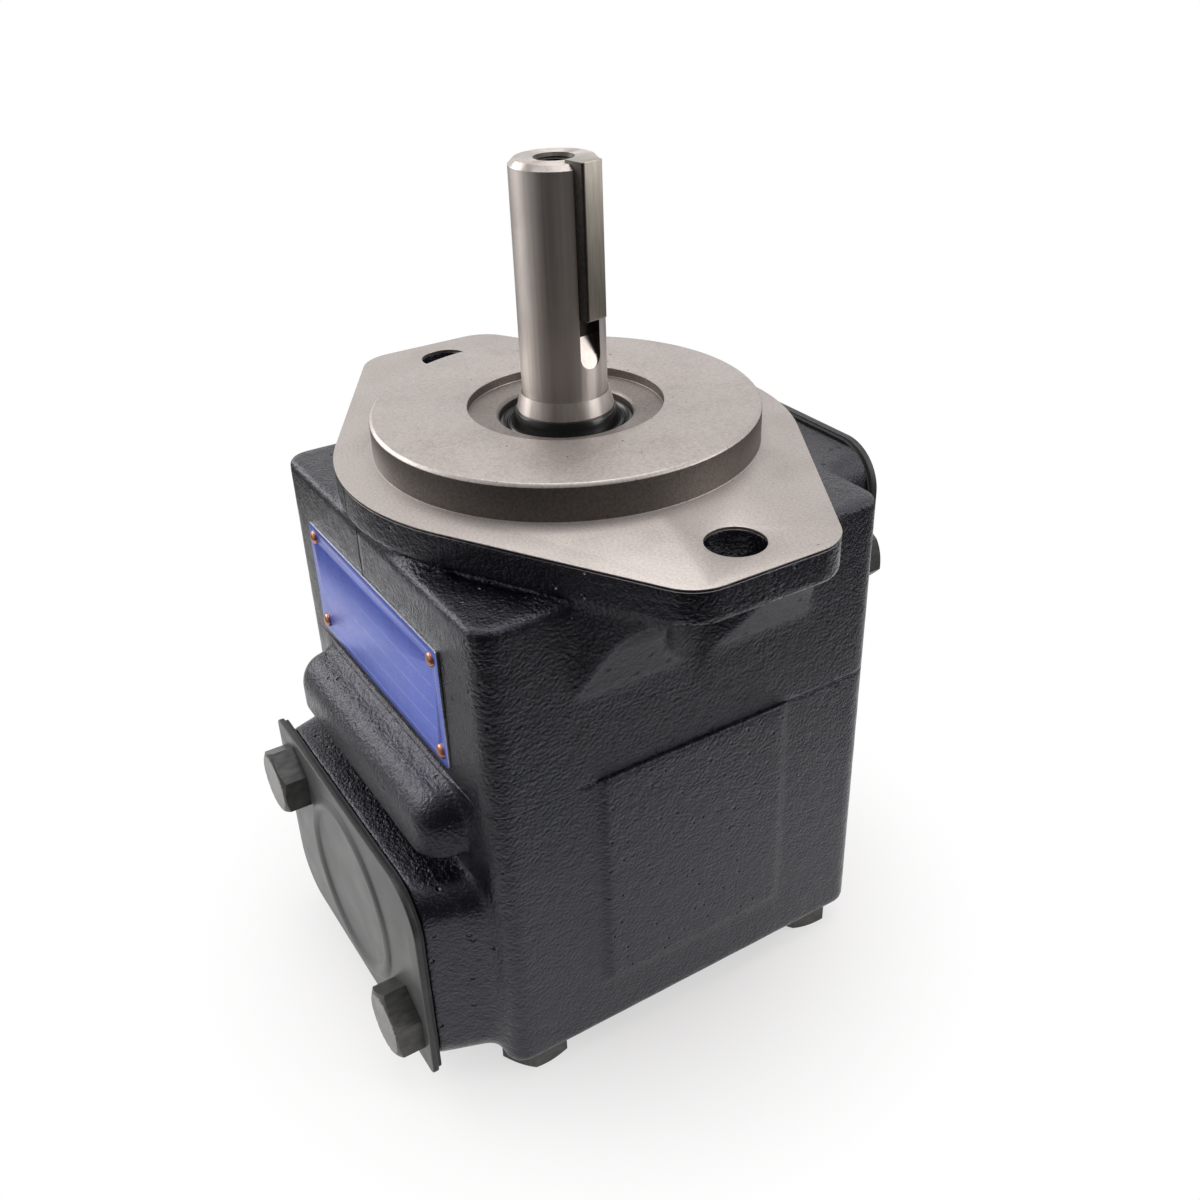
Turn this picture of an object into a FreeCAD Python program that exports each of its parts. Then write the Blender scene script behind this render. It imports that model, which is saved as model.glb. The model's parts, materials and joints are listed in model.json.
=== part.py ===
import FreeCAD, Part
import math
import os

os.makedirs("parts", exist_ok=True)

# Frame: origin on the shaft axis at the mounting face, +Z out along the shaft,
# +X towards one flange ear, -Y the suction side, +Y the pressure side.

# Driving dimensions, mm

# Two-bolt flange and pilot
flange_thickness = 9.5
flange_bolt_spacing = 146.0
flange_hole_radius = 7.15
flange_ear_margin = 14.0
flange_round_overhang = 2.0
flange_side_angle = 60.0
flange_corner_radius = 12.0
pilot_radius = 50.8
pilot_height = 9.65
pilot_chamfer = 0.8
face_recess_radius = 25.6
face_recess_depth = 2.6
nut_clearance_radius = 16.2
nut_relief_taper = 2.2
nut_relief_length = 39.0
gusset_foot_drop = 37.5
gusset_slope_drop = 22.0
gusset_slope_reach = 8.5
gusset_curve_drop = 14.7
gusset_curve_reach = 15.0
gusset_reach = 24.0
gusset_half_width = 36.0
gusset_inset = 1.2

# Castings
cap_length = 63.5
housing_length = 86.0
gallery_gap = 4.5
housing_wall = 8.5
body_corner_radius = 6.0
body_edge_radius = 2.0
shoulder_drop = 11.5
neck_inset = 2.5
side_panel_half = 29.0
side_panel_length = 69.5
side_panel_rise = 1.2
side_panel_draft = 1.0

# Suction port, its pad and the rounded shoulder above it
suction_radius = 19.05
suction_spacing = (69.9, 35.7)
suction_pad_margin = (23.1, 24.3)
suction_pad_draft = 6.5
suction_pad_radius = 9.0
suction_reach = 16.0
suction_tap_depth = 21.0
suction_ring_gap = 6.0
suction_bolt_turns = (28.0, 38.0)
hump_inset = 14.0
hump_reach = 12.0
hump_height = 18.5
hump_radius = 9.0

# Pressure port and its pad
pressure_drop = 36.0
pressure_radius = 12.7
pressure_spacing = (52.4, 26.2)
pressure_pad_margin = (18.6, 20.3)
pressure_pad_draft = 5.5
pressure_pad_radius = 8.0
pressure_reach = 16.0
pressure_tap_depth = 17.0
pressure_ring_gap = 3.5
pressure_bolt_turns = (50.0, 15.0)

# Port covers and gaskets
cover_thickness = 1.8
cover_overhang = 1.0
cover_tight_radius = 2.0
cover_round_radius = 13.0
cover_ring_height = 1.1
cover_ring_width = 4.6
cover_bolt_grip = 14.0
gasket_thickness = 1.0
gasket_inset = 0.6

# Drive shaft and key
shaft_radius = 11.11
shaft_reach = 70.7
shaft_chamfer = 1.3
shaft_flare_top = 15.0
shaft_flare_bottom = 9.5
shaft_tap_radius = 4.25
shaft_tap_depth = 22.0
shaft_tap_lead = 0.8
key_width = 6.35
key_seat_radius = 7.6
key_length = 37.5
key_proud = 0.8
key_angle = 10.0
key_chamfer = 0.5
keyway_end = 21.0
seal_land_step = 1.39
bearing_seat_step = 2.5
shaft_collar_step = 3.0
shaft_collar_length = 3.5
shaft_core_step = 0.6
spline_teeth = 12
spline_depth = 1.8
spline_tooth_width = 3.6
tail_step = 0.6
tail_length = 24.0

# Shaft seal and bearing
seal_section = 5.0
seal_width = 7.0
seal_sink = 2.0
garter_radius = 0.7
bearing_section = 16.0
bearing_width = 16.0
bearing_depth = 7.5
bearing_shoulder_step = 5.5
bearing_shoulder_room = 2.0
bearing_balls = 9
ball_radius = 4.76
race_wall = 4.2
cage_width = 11.6
cage_wall = 2.2
bore_ring_thickness = 1.8
bore_ring_wall = 4.0
bore_ring_seat = 2.0
shaft_ring_thickness = 1.5
shaft_ring_wall = 3.0
shaft_ring_seat = 0.8
ring_gap = 8.0

# Cartridge, from the rotor's spline outwards
rotor_wall = 1.7
pin_radius = 1.5
pin_length = 4.0
vane_count = 10
vane_thickness = 1.8
vane_height = 9.0
vane_stroke = 2.4
rotor_tip_gap = 0.25
cam_width = 32.0
cam_lift = 2.4
cam_dwell_half = 20.0
cam_curve_points = 5
cam_ring_wall = 11.85
plate_thickness = 16.0
plate_seat_depth = 9.0
hub_inset = 1.65
hub_bore_length = 6.0
hub_bore_start = 27.0
chamber_ledge = 2.0
rear_hub_length = 22.0
rear_seat_depth = 8.0
rear_hub_wall = 4.95
bush_wall = 3.0
bush_length = 24.0
kidney_angle = 45.0
kidney_half_angle = 24.0
kidney_root = 5.0
kidney_depth = 5.0
kidney_lift = 9.0
kidney_rim = 5.0
screw_edge = 6.0
screw_size = 6.0
screw_head_radius = 5.0
screw_head_height = 6.0
screw_grip = 9.0
dowel_size = 5.0
dowel_overlap = 6.0

# Round seal rings
ring_section = 2.1
face_ring_land = 2.5
face_ring_section = 2.4

# Hexagon bolts
large_bolt_size = 12.0
large_bolt_across = 18.0
large_bolt_head = 7.5
small_bolt_size = 10.0
small_bolt_across = 16.0
small_bolt_head = 6.4
housing_bolt_edge = 12.0
housing_bolt_engagement = 21.0
housing_bolt_turns = (20.0, 42.0, 5.0, 35.0)

# Nameplate and rivets
plate_size = (82.0, 34.2)
plate_gauge = 0.6
plate_corner = 1.2
plate_top = 26.0
plate_shift = -2.5
rivet_inset = (3.6, 3.6)
rivet_radius = 2.0
rivet_height = 1.1
rivet_shank_radius = 1.3
rivet_length = 6.0

# Clearances
running_gap = 0.05
locating_gap = 0.03
thread_gap = 0.05
bolt_gap = 0.35
chip_gap = 0.5

# Radii that follow, from the shaft outwards

seal_land_radius = shaft_radius + seal_land_step
seal_bore_radius = seal_land_radius + seal_section
bearing_seat_radius = seal_land_radius + bearing_seat_step
bearing_outer_radius = bearing_seat_radius + bearing_section
bearing_shoulder_radius = bearing_outer_radius - bearing_shoulder_step
bore_inner_radius = bearing_outer_radius + locating_gap
ball_circle = (bearing_seat_radius + bearing_outer_radius) / 2
shaft_collar_radius = bearing_seat_radius + shaft_collar_step
shaft_core_radius = bearing_seat_radius - shaft_core_step
spline_root_radius = shaft_core_radius - spline_depth
tail_radius = spline_root_radius - tail_step
bush_inner_radius = tail_radius + running_gap
bush_outer_radius = bush_inner_radius + bush_wall
rear_hub_radius = bush_outer_radius + rear_hub_wall
pin_floor_radius = shaft_core_radius + rotor_wall
pin_inner_radius = pin_floor_radius + vane_stroke + 3 * running_gap
vane_inner_radius = pin_inner_radius + pin_length
slot_floor_radius = vane_inner_radius - vane_stroke - 3 * running_gap
cam_minor_radius = vane_inner_radius + vane_height + 2 * running_gap
cam_major_radius = cam_minor_radius + cam_lift
rotor_radius = cam_minor_radius - rotor_tip_gap
kidney_inner_radius = rotor_radius - kidney_root
kidney_outer_radius = cam_major_radius - chip_gap
hub_radius = cam_major_radius - hub_inset
cartridge_radius = cam_major_radius + cam_ring_wall
screw_circle = cartridge_radius - screw_edge
kidney_chamber_radius = cartridge_radius - kidney_rim
chamber_radius = cartridge_radius - chamber_ledge
plate_bore_radius = cartridge_radius + running_gap
suction_gallery_radius = cartridge_radius + gallery_gap
face_ring_radius = suction_gallery_radius + face_ring_land

# Outlines that follow from the body's square section

body_half = suction_gallery_radius + housing_wall
housing_bolt_half = body_half - housing_bolt_edge
flange_round_radius = body_half + flange_round_overhang
flange_ear_half = flange_bolt_spacing / 2 + flange_ear_margin
hump_half = body_half - hump_inset
hump_face = body_half + hump_reach

# Levels that follow

joint_z = -cap_length
housing_end_z = joint_z - housing_length
seal_top_z = pilot_height - face_recess_depth - seal_sink
seal_bottom_z = seal_top_z - seal_width
bearing_top_z = -bearing_depth
bearing_bottom_z = bearing_top_z - bearing_width
bearing_mid_z = (bearing_top_z + bearing_bottom_z) / 2
bore_ring_bottom_z = bearing_bottom_z - bore_ring_thickness
hub_top_z = -hub_bore_start - chip_gap
chamber_top_z = -hub_bore_start - hub_bore_length
plate_top_z = joint_z + plate_seat_depth
cam_top_z = plate_top_z - plate_thickness
cam_bottom_z = cam_top_z - cam_width
rear_plate_end_z = cam_bottom_z - plate_thickness
rear_hub_end_z = rear_plate_end_z - rear_hub_length
gallery_end_z = rear_hub_end_z - chip_gap + rear_seat_depth
collar_end_z = bearing_bottom_z - shaft_collar_length
tail_top_z = cam_bottom_z + chip_gap
shaft_end_z = tail_top_z - tail_length
vane_top_z = cam_top_z - running_gap
vane_bottom_z = cam_bottom_z + running_gap
hub_ring_z = (hub_top_z + chamber_top_z) / 2
rim_ring_z = plate_top_z - plate_seat_depth / 2

# The two ports: side is -1 for suction and 1 for pressure, face is the pad's
# distance from the axis, and the suction pad ends flush with the housing.

suction_pad = (suction_spacing[0] + suction_pad_margin[0], suction_spacing[1] + suction_pad_margin[1])
pressure_pad = (pressure_spacing[0] + pressure_pad_margin[0], pressure_spacing[1] + pressure_pad_margin[1])
ports = {
    "suction": dict(
        side=-1, z=housing_end_z + suction_pad[1] / 2, face=body_half + suction_reach, pad=suction_pad,
        draft=(suction_pad_draft, 0), corner=suction_pad_radius, bore=suction_radius,
        bore_start=suction_gallery_radius - gallery_gap, spacing=suction_spacing, tap_depth=suction_tap_depth,
        bolt=(large_bolt_size, large_bolt_across, large_bolt_head), turns=suction_bolt_turns,
        ring=suction_radius + suction_ring_gap),
    "pressure": dict(
        side=1, z=-pressure_drop, face=body_half + pressure_reach, pad=pressure_pad,
        draft=(pressure_pad_draft, 0.7), corner=pressure_pad_radius, bore=pressure_radius,
        bore_start=hub_radius + kidney_root, spacing=pressure_spacing, tap_depth=pressure_tap_depth,
        bolt=(small_bolt_size, small_bolt_across, small_bolt_head), turns=pressure_bolt_turns,
        ring=pressure_radius + pressure_ring_gap),
}

vector = FreeCAD.Vector
up = vector(0, 0, 1)


# Shape helpers

def cylinder(radius, z0, z1, x=0, y=0):
    return Part.makeCylinder(radius, abs(z1 - z0), vector(x, y, min(z0, z1)))


def tube(outer, inner, z0, z1):
    return cylinder(outer, z0, z1).cut(cylinder(inner, z0, z1))


def rod(radius, start, end):
    return Part.makeCylinder(radius, (end - start).Length, start, end - start)


def box(x0, x1, y0, y1, z0, z1):
    return Part.makeBox(x1 - x0, y1 - y0, z1 - z0, vector(x0, y0, z0))


def turned(profile, centre=vector(0, 0, 0)):
    """Solid of revolution about a line through centre, from (radius, z) points."""
    points = [vector(r, 0, z) for r, z in profile]
    face = Part.Face(Part.makePolygon(points + points[:1]))
    solid = face.revolve(vector(0, 0, 0), up, 360)
    solid.translate(centre)
    return solid


def torus(circle, section, z):
    return Part.makeTorus(circle, section, vector(0, 0, z), up)


def about_z(shape, degrees):
    copy = shape.copy()
    copy.rotate(vector(0, 0, 0), up, degrees)
    return copy


def fuse_all(shapes):
    result = shapes[0].fuse(shapes[1:]) if len(shapes) > 1 else shapes[0]
    return result.removeSplitter()


def cut_all(shape, tools):
    return shape.cut(tools).removeSplitter()


def rounded_rectangle(width, height, radii):
    """Closed wire in the XY plane; radii run from the corner +x +y counter-clockwise."""
    w = width / 2
    h = height / 2
    corners = [(w, h), (-w, h), (-w, -h), (w, -h)]
    along = [(0, 1), (-1, 0), (0, -1), (1, 0)]
    edges = []
    ends = []
    for (x, y), (ax, ay), r in zip(corners, along, radii):
        bx, by = -ay, ax
        start = vector(x - ax * r, y - ay * r, 0)
        end = vector(x + bx * r, y + by * r, 0)
        centre = vector(x - ax * r + bx * r, y - ay * r + by * r, 0)
        diagonal = vector(ax - bx, ay - by, 0).normalize()
        edges.append(Part.Arc(start, centre + diagonal * r, end).toShape())
        ends.append((start, end))
    sides = [Part.makeLine(ends[i][1], ends[(i + 1) % 4][0]) for i in range(4)]
    ordered = [edge for pair in zip(edges, sides) for edge in pair]
    return Part.Wire(ordered)


def on_side(shape, side, face, z):
    """Stands a shape drawn in XY on the +Y (side 1) or -Y (side -1) face, its +Z outward."""
    copy = shape.copy()
    copy.rotate(vector(0, 0, 0), vector(1, 0, 0), 90)
    if side > 0:
        copy.rotate(vector(0, 0, 0), up, 180)
    copy.translate(vector(0, side * face, z))
    return copy


def sector(inner, outer, half_angle, middle, z0, z1):
    """Ring segment round the axis, centred on the angle middle."""
    ring = tube(outer, inner, z0, z1)
    reach = 2 * outer
    points = [vector(0, 0, z0)]
    for step in (-1, -0.5, 0, 0.5, 1):
        angle = math.radians(middle + step * half_angle)
        points.append(vector(reach * math.cos(angle), reach * math.sin(angle), z0))
    wedge = Part.Face(Part.makePolygon(points + points[:1])).extrude(vector(0, 0, z1 - z0))
    return ring.common(wedge)


def hex_bolt(size, across, height, length):
    """Bolt along +Z with its bearing face at z = 0: head above, shank below."""
    corner = across / 2 / math.cos(math.radians(30))
    points = [vector(corner * math.cos(math.radians(60 * i)), corner * math.sin(math.radians(60 * i)), 0)
              for i in range(7)]
    prism = Part.Face(Part.makePolygon(points)).extrude(vector(0, 0, height))
    slope = (corner - across * 0.46) * math.tan(math.radians(30))
    crown = turned([(0, 0), (corner, 0), (corner, height - slope), (across * 0.46, height), (0, height)])
    shank = turned([(0, 0), (size / 2, 0), (size / 2, 1 - length), (size / 2 - 1, -length), (0, -length)])
    return fuse_all([prism.common(crown), shank])


# Mounting cap: flange, pilot, bearing and seal bores, pressure chamber

def flange_outline():
    angle = math.radians(flange_side_angle)
    touch = vector(flange_round_radius * math.cos(angle), flange_round_radius * math.sin(angle), 0)
    ear = (flange_round_radius - flange_ear_half * math.cos(angle)) / math.sin(angle)

    def mirrored(point, sx, sy):
        return vector(point.x * sx, point.y * sy, 0)

    corner = vector(flange_ear_half, ear, 0)
    edges = []
    for sy, order in ((1, (1, -1)), (-1, (-1, 1))):
        first = mirrored(touch, order[0], sy)
        last = mirrored(touch, order[1], sy)
        edges.append(Part.makeLine(mirrored(corner, order[0], sy), first))
        edges.append(Part.Arc(first, vector(0, sy * flange_round_radius, 0), last).toShape())
        edges.append(Part.makeLine(last, mirrored(corner, order[1], sy)))
        edges.append(Part.makeLine(mirrored(corner, order[1], sy), mirrored(corner, order[1], -sy)))
    return Part.Wire(edges)


def flange_plate():
    plate = Part.Face(flange_outline()).extrude(vector(0, 0, -flange_thickness))
    upright = [e for e in plate.Edges
               if e.Length > flange_thickness - 0.01 and abs(e.BoundBox.ZLength - flange_thickness) < 0.01
               and abs(abs(e.CenterOfMass.x) - flange_ear_half) < 0.01]
    return plate.makeFillet(flange_corner_radius, upright)


def square_block(half, z0, z1, radius):
    wire = rounded_rectangle(2 * half, 2 * half, [radius] * 4)
    wire.translate(vector(0, 0, z0))
    return Part.Face(wire).extrude(vector(0, 0, z1 - z0))


def softened(block, level, radius):
    """Rounds the outline edges that lie at one level."""
    rim = [e for e in block.Edges if e.BoundBox.ZLength < 0.01 and abs(e.CenterOfMass.z - level) < 0.01]
    return block.makeFillet(radius, rim)


def ear_gusset(side):
    """Gusset under an ear: a flat slope up from the body's side, then a curve out to the ear."""
    root = body_half - 0.5
    under = -flange_thickness + 0.5
    foot = vector(body_half, 0, -gusset_foot_drop)
    kink = vector(body_half + gusset_slope_reach, 0, -gusset_slope_drop)
    middle = vector(body_half + gusset_curve_reach, 0, -gusset_curve_drop)
    tip = vector(body_half + gusset_reach, 0, -flange_thickness)
    straight = Part.makePolygon([tip, vector(tip.x, 0, under), vector(root, 0, under),
                                 vector(root, 0, foot.z - 0.5), foot, kink])
    profile = Part.Wire(straight.Edges + [Part.Arc(kink, middle, tip).toShape()])
    profile.translate(vector(0, -gusset_half_width, 0))
    gusset = Part.Face(profile).extrude(vector(0, 2 * gusset_half_width, 0))
    outline = Part.Face(flange_outline().makeOffset2D(-gusset_inset))
    gusset = gusset.common(outline.extrude(vector(0, 0, foot.z - 1)))
    return gusset if side > 0 else about_z(gusset, 180)


def nut_relief(side):
    """Room for a nut or bolt head under the ear, running out down the body's side."""
    x = flange_bolt_spacing / 2
    lower = -flange_thickness - nut_relief_length
    return turned([(0, lower), (nut_clearance_radius - nut_relief_taper, lower),
                   (nut_clearance_radius, -flange_thickness), (0, -flange_thickness)], vector(side * x, 0, 0))


def port_pad(port):
    """Drafted boss round a port, from inside the wall out to its machined face."""
    width, height = port["pad"]
    inner_wire = rounded_rectangle(width + 2 * port["draft"][0], height + 2 * port["draft"][1],
                                   [port["corner"]] * 4)
    outer_wire = rounded_rectangle(width, height, [port["corner"]] * 4)
    outer_wire.translate(vector(0, 0, port["face"] - body_half + body_edge_radius))
    pad = Part.makeLoft([inner_wire, outer_wire], True, True)
    return on_side(pad, port["side"], body_half - body_edge_radius, port["z"])


def port_cuts(port):
    """The port's bore and its four tapped holes."""
    side, z = port["side"], port["z"]
    outside = side * (port["face"] + 1)
    cuts = [rod(port["bore"], vector(0, side * port["bore_start"], z), vector(0, outside, z))]
    half_width, half_height = port["spacing"][0] / 2, port["spacing"][1] / 2
    floor = side * (port["face"] - port["tap_depth"])
    for x, dz in ((-half_width, -half_height), (-half_width, half_height),
                  (half_width, -half_height), (half_width, half_height)):
        start = vector(x, floor, z + dz)
        cuts.append(rod(port["bolt"][0] / 2 + thread_gap, start, vector(x, outside, z + dz)))
    return cuts


def rivet_places():
    x = plate_size[0] / 2 - rivet_inset[0]
    top = -plate_top - rivet_inset[1]
    bottom = -plate_top - plate_size[1] + rivet_inset[1]
    return [(plate_shift + sx * x, z) for sx in (-1, 1) for z in (top, bottom)]


def bolt_corners():
    return [(sx * housing_bolt_half, sy * housing_bolt_half)
            for sx, sy in ((1, 1), (-1, 1), (-1, -1), (1, -1))]


def mounting_cap():
    block = softened(square_block(body_half, joint_z, -shoulder_drop, body_corner_radius),
                     -shoulder_drop, body_edge_radius)
    neck = Part.Face(flange_outline().makeOffset2D(-neck_inset)).extrude(vector(0, 0, -shoulder_drop - 1))
    neck = neck.common(square_block(body_half - body_edge_radius, -shoulder_drop - 1, 0, body_corner_radius))
    pilot = turned([(0, -1), (pilot_radius, -1), (pilot_radius, pilot_height - pilot_chamfer),
                    (pilot_radius - pilot_chamfer, pilot_height), (0, pilot_height)])
    pad = port_pad(ports["pressure"])
    solid = fuse_all([block, neck, flange_plate(), pilot, pad, ear_gusset(1), ear_gusset(-1)])

    recess_z = pilot_height - face_recess_depth
    lead = pilot_chamfer
    cuts = [
        cylinder(face_recess_radius, recess_z, pilot_height + 1),
        turned([(0, seal_bottom_z), (seal_bore_radius, seal_bottom_z), (seal_bore_radius, recess_z - lead),
                (seal_bore_radius + lead, recess_z), (0, recess_z)]),
        cylinder(bearing_seat_radius + chip_gap, seal_bottom_z + 1, bearing_top_z - 1),
        cylinder(bearing_shoulder_radius, bearing_top_z + bearing_shoulder_room, bearing_top_z - 1),
        cylinder(bore_inner_radius, bearing_top_z, -hub_bore_start - 1),
        cylinder(bore_inner_radius + bore_ring_seat, bearing_bottom_z, bore_ring_bottom_z - running_gap),
        cylinder(hub_radius + running_gap, -hub_bore_start, joint_z),
        cylinder(chamber_radius, chamber_top_z, plate_top_z),
        cylinder(plate_bore_radius, plate_top_z + chip_gap, joint_z - 1),
    ]
    for side in (1, -1):
        cuts.append(cylinder(flange_hole_radius, 1, -flange_thickness - 1, side * flange_bolt_spacing / 2))
        cuts.append(nut_relief(side))
    cuts += port_cuts(ports["pressure"])
    for x, y in bolt_corners():
        cuts.append(cylinder(large_bolt_size / 2 + thread_gap, joint_z - 1,
                             joint_z + housing_bolt_engagement + 2, x, y))
    for x, z in rivet_places():
        cuts.append(rod(rivet_shank_radius, vector(x, -body_half - 1, z),
                        vector(x, -body_half + rivet_length + chip_gap, z)))
    return cut_all(solid, cuts)


# Rear housing: suction gallery, suction port, cartridge seat

def suction_hump():
    """Rounded shoulder above the suction pad."""
    bar = box(-hump_half, hump_half, -hump_face, -body_half + hump_radius, joint_z - hump_height,
              joint_z - body_edge_radius)
    front = [e for e in bar.Edges
             if abs(e.CenterOfMass.y + hump_face) < 0.01 and e.CenterOfMass.z > joint_z - hump_height + 0.1]
    top_ends = [e for e in bar.Edges
                if abs(abs(e.CenterOfMass.x) - hump_half) < 0.01
                and abs(e.CenterOfMass.z - joint_z + body_edge_radius) < 0.01]
    return bar.makeFillet(hump_radius, front + top_ends)


def side_panel(side):
    """Raised panel on the side of the housing, its rim drafted all round."""
    face = body_half + side_panel_rise
    panel = box(body_half - 1, face, -side_panel_half, side_panel_half, joint_z - side_panel_length, joint_z)
    rim = [e for e in panel.Edges if abs(e.CenterOfMass.x - face) < 0.01]
    panel = panel.makeChamfer(side_panel_draft, rim)
    return panel if side > 0 else about_z(panel, 180)


def rear_housing():
    block = softened(square_block(body_half, housing_end_z, joint_z, body_corner_radius),
                     housing_end_z, body_edge_radius)
    solid = fuse_all([block, port_pad(ports["suction"]), suction_hump(), side_panel(1), side_panel(-1)])

    cuts = [
        cylinder(suction_gallery_radius, joint_z + 1, gallery_end_z),
        cylinder(rear_hub_radius + running_gap, gallery_end_z + 1, gallery_end_z - rear_seat_depth),
    ]
    groove = face_ring_section / 2 + running_gap
    cuts.append(tube(face_ring_radius + groove, face_ring_radius - groove, joint_z - 2 * groove, joint_z + 1))
    cuts += port_cuts(ports["suction"])
    for x, y in bolt_corners():
        cuts.append(cylinder(large_bolt_size / 2 + bolt_gap, housing_end_z - 1, joint_z + 1, x, y))
    return cut_all(solid, cuts)


# Covers, gaskets and their bolts

def cover_wire(port, grow):
    """Nearly square at the two corners that the bolts hold, and round at the others."""
    width = port["pad"][0] + 2 * grow
    height = port["pad"][1] + 2 * grow
    radii = [cover_round_radius, cover_tight_radius][::-port["side"]]
    return rounded_rectangle(width, height, radii * 2)


def cover_bolt_places(port):
    """Two of the four tapped holes, upper left and lower right, seen from -Y."""
    x, z = port["spacing"][0] / 2, port["spacing"][1] / 2
    return [(-x, z), (x, -z)]


def cover_bolt_holes(port, thickness):
    radius = port["bolt"][0] / 2 + bolt_gap
    return [cylinder(radius, -1, thickness + 1, -port["side"] * x, z) for x, z in cover_bolt_places(port)]


def port_cover(port):
    """Pressed plate with an embossed ring round the port."""
    plate = Part.Face(cover_wire(port, cover_overhang)).extrude(vector(0, 0, cover_thickness))
    section = (cover_ring_width ** 2 / 4 + cover_ring_height ** 2) / 2 / cover_ring_height
    ridge = torus(port["ring"], section, cover_thickness + cover_ring_height - section)
    band = tube(port["ring"] + cover_ring_width, port["ring"] - cover_ring_width, cover_thickness / 2,
                cover_thickness + cover_ring_height)
    plate = fuse_all([plate, ridge.common(band)])
    plate = cut_all(plate, cover_bolt_holes(port, cover_thickness))
    return on_side(plate, port["side"], port["face"] + gasket_thickness, port["z"])


def port_gasket(port):
    sheet = Part.Face(cover_wire(port, cover_overhang - gasket_inset))
    sheet = sheet.extrude(vector(0, 0, gasket_thickness))
    holes = [cylinder(port["bore"], -1, gasket_thickness + 1)] + cover_bolt_holes(port, gasket_thickness)
    return on_side(cut_all(sheet, holes), port["side"], port["face"], port["z"])


def port_bolts(port):
    bolt = hex_bolt(*port["bolt"], cover_thickness + gasket_thickness + cover_bolt_grip)
    seat = port["face"] + gasket_thickness + cover_thickness
    bolts = []
    for (x, dz), turn in zip(cover_bolt_places(port), port["turns"]):
        placed = on_side(about_z(bolt, turn), port["side"], seat, port["z"] + dz)
        placed.translate(vector(x, 0, 0))
        bolts.append(placed)
    return bolts


# Shaft, key, seal and bearing

def spline(tip_radius, root_radius, tooth_width, z0, z1):
    core = cylinder(root_radius, z0, z1)
    tooth = box(0, tip_radius + 1, -tooth_width / 2, tooth_width / 2, z1, z0)
    teeth = [about_z(tooth, 360 / spline_teeth * i) for i in range(spline_teeth)]
    return fuse_all([core] + teeth).common(cylinder(tip_radius, z0, z1))


def drive_shaft():
    spline_top_z = cam_top_z + 2 * chip_gap
    body = turned([
        (0, spline_top_z), (shaft_core_radius, spline_top_z), (shaft_core_radius, collar_end_z),
        (shaft_collar_radius, collar_end_z), (shaft_collar_radius, bearing_bottom_z),
        (bearing_seat_radius, bearing_bottom_z), (bearing_seat_radius, bearing_top_z),
        (bearing_seat_radius - shaft_ring_seat, bearing_top_z),
        (bearing_seat_radius - shaft_ring_seat, bearing_top_z + shaft_ring_thickness),
        (bearing_seat_radius, bearing_top_z + shaft_ring_thickness),
        (bearing_seat_radius, seal_bottom_z - 1), (seal_land_radius, seal_bottom_z - 1),
        (seal_land_radius, shaft_flare_bottom), (shaft_radius, shaft_flare_top),
        (shaft_radius, shaft_reach - shaft_chamfer), (shaft_radius - shaft_chamfer, shaft_reach),
        (0, shaft_reach)])
    drive = spline(shaft_core_radius, spline_root_radius, spline_tooth_width, spline_top_z, tail_top_z)
    tail = turned([(0, tail_top_z), (0, shaft_end_z), (tail_radius - 1, shaft_end_z),
                   (tail_radius, shaft_end_z + 1), (tail_radius, tail_top_z)])
    solid = fuse_all([body, drive, tail])

    half = key_width / 2 + locating_gap
    slot = box(key_seat_radius, shaft_radius + 1, -half, half, keyway_end + half, shaft_reach + 1)
    slot_end = rod(half, vector(key_seat_radius, 0, keyway_end + half),
                   vector(shaft_radius + 1, 0, keyway_end + half))
    mouth = turned([(0, shaft_reach - shaft_tap_depth), (shaft_tap_radius, shaft_reach - shaft_tap_depth),
                    (shaft_tap_radius, shaft_reach - shaft_tap_lead),
                    (shaft_tap_radius + shaft_tap_lead, shaft_reach), (0, shaft_reach)])
    return cut_all(solid, [about_z(slot, key_angle), about_z(slot_end, key_angle), mouth])


def shaft_key():
    half = key_width / 2
    top = key_seat_radius + key_width
    key_end_z = shaft_reach + key_proud
    bar = box(key_seat_radius, top, -half, half, key_end_z - key_length, key_end_z)
    long_edges = [e for e in bar.Edges if abs(e.Length - key_length) < 0.01 and e.CenterOfMass.x > top - 0.01]
    foot = [e for e in bar.Edges
            if abs(e.CenterOfMass.x - top) < 0.01 and abs(e.CenterOfMass.z - key_end_z + key_length) < 0.01]
    bar = bar.makeChamfer(key_chamfer, long_edges + foot)
    return about_z(bar, key_angle)


def shaft_seal():
    outer = seal_bore_radius
    lip = seal_land_radius + running_gap
    top = seal_top_z
    shell = 1.1
    waist = lip + 2.2
    garter_circle, garter_z = garter_centre()
    profile = turned([
        (outer - 0.5, seal_bottom_z), (outer, seal_bottom_z + 0.5), (outer, top - 0.4), (outer - 0.4, top),
        (outer - shell, top), (outer - shell - 0.3, top - 0.5), (waist + 0.3, top - 0.5), (waist, top - 0.1),
        (lip + 0.8, top - 0.1), (lip, top - 0.9), (lip + 0.5, top - 1.4), (waist - 0.2, top - 2.2),
        (waist - 0.2, top - 3.2), (lip, top - 4.7), (lip + 0.5, top - 5.9), (lip + 1.3, seal_bottom_z + 0.3),
        (garter_circle, seal_bottom_z + 0.3), (garter_circle, top - 4.6),
        (waist + 0.6, top - 3.2), (waist + 0.6, top - 2.4), (outer - shell, top - 2.4),
        (outer - shell, seal_bottom_z)])
    return profile.cut(torus(garter_circle, garter_radius + running_gap, garter_z))


def garter_centre():
    """Circle radius and level of the spring that loads the lip."""
    return seal_land_radius + running_gap + 1.3 + garter_radius, seal_bottom_z + 1.1


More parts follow.
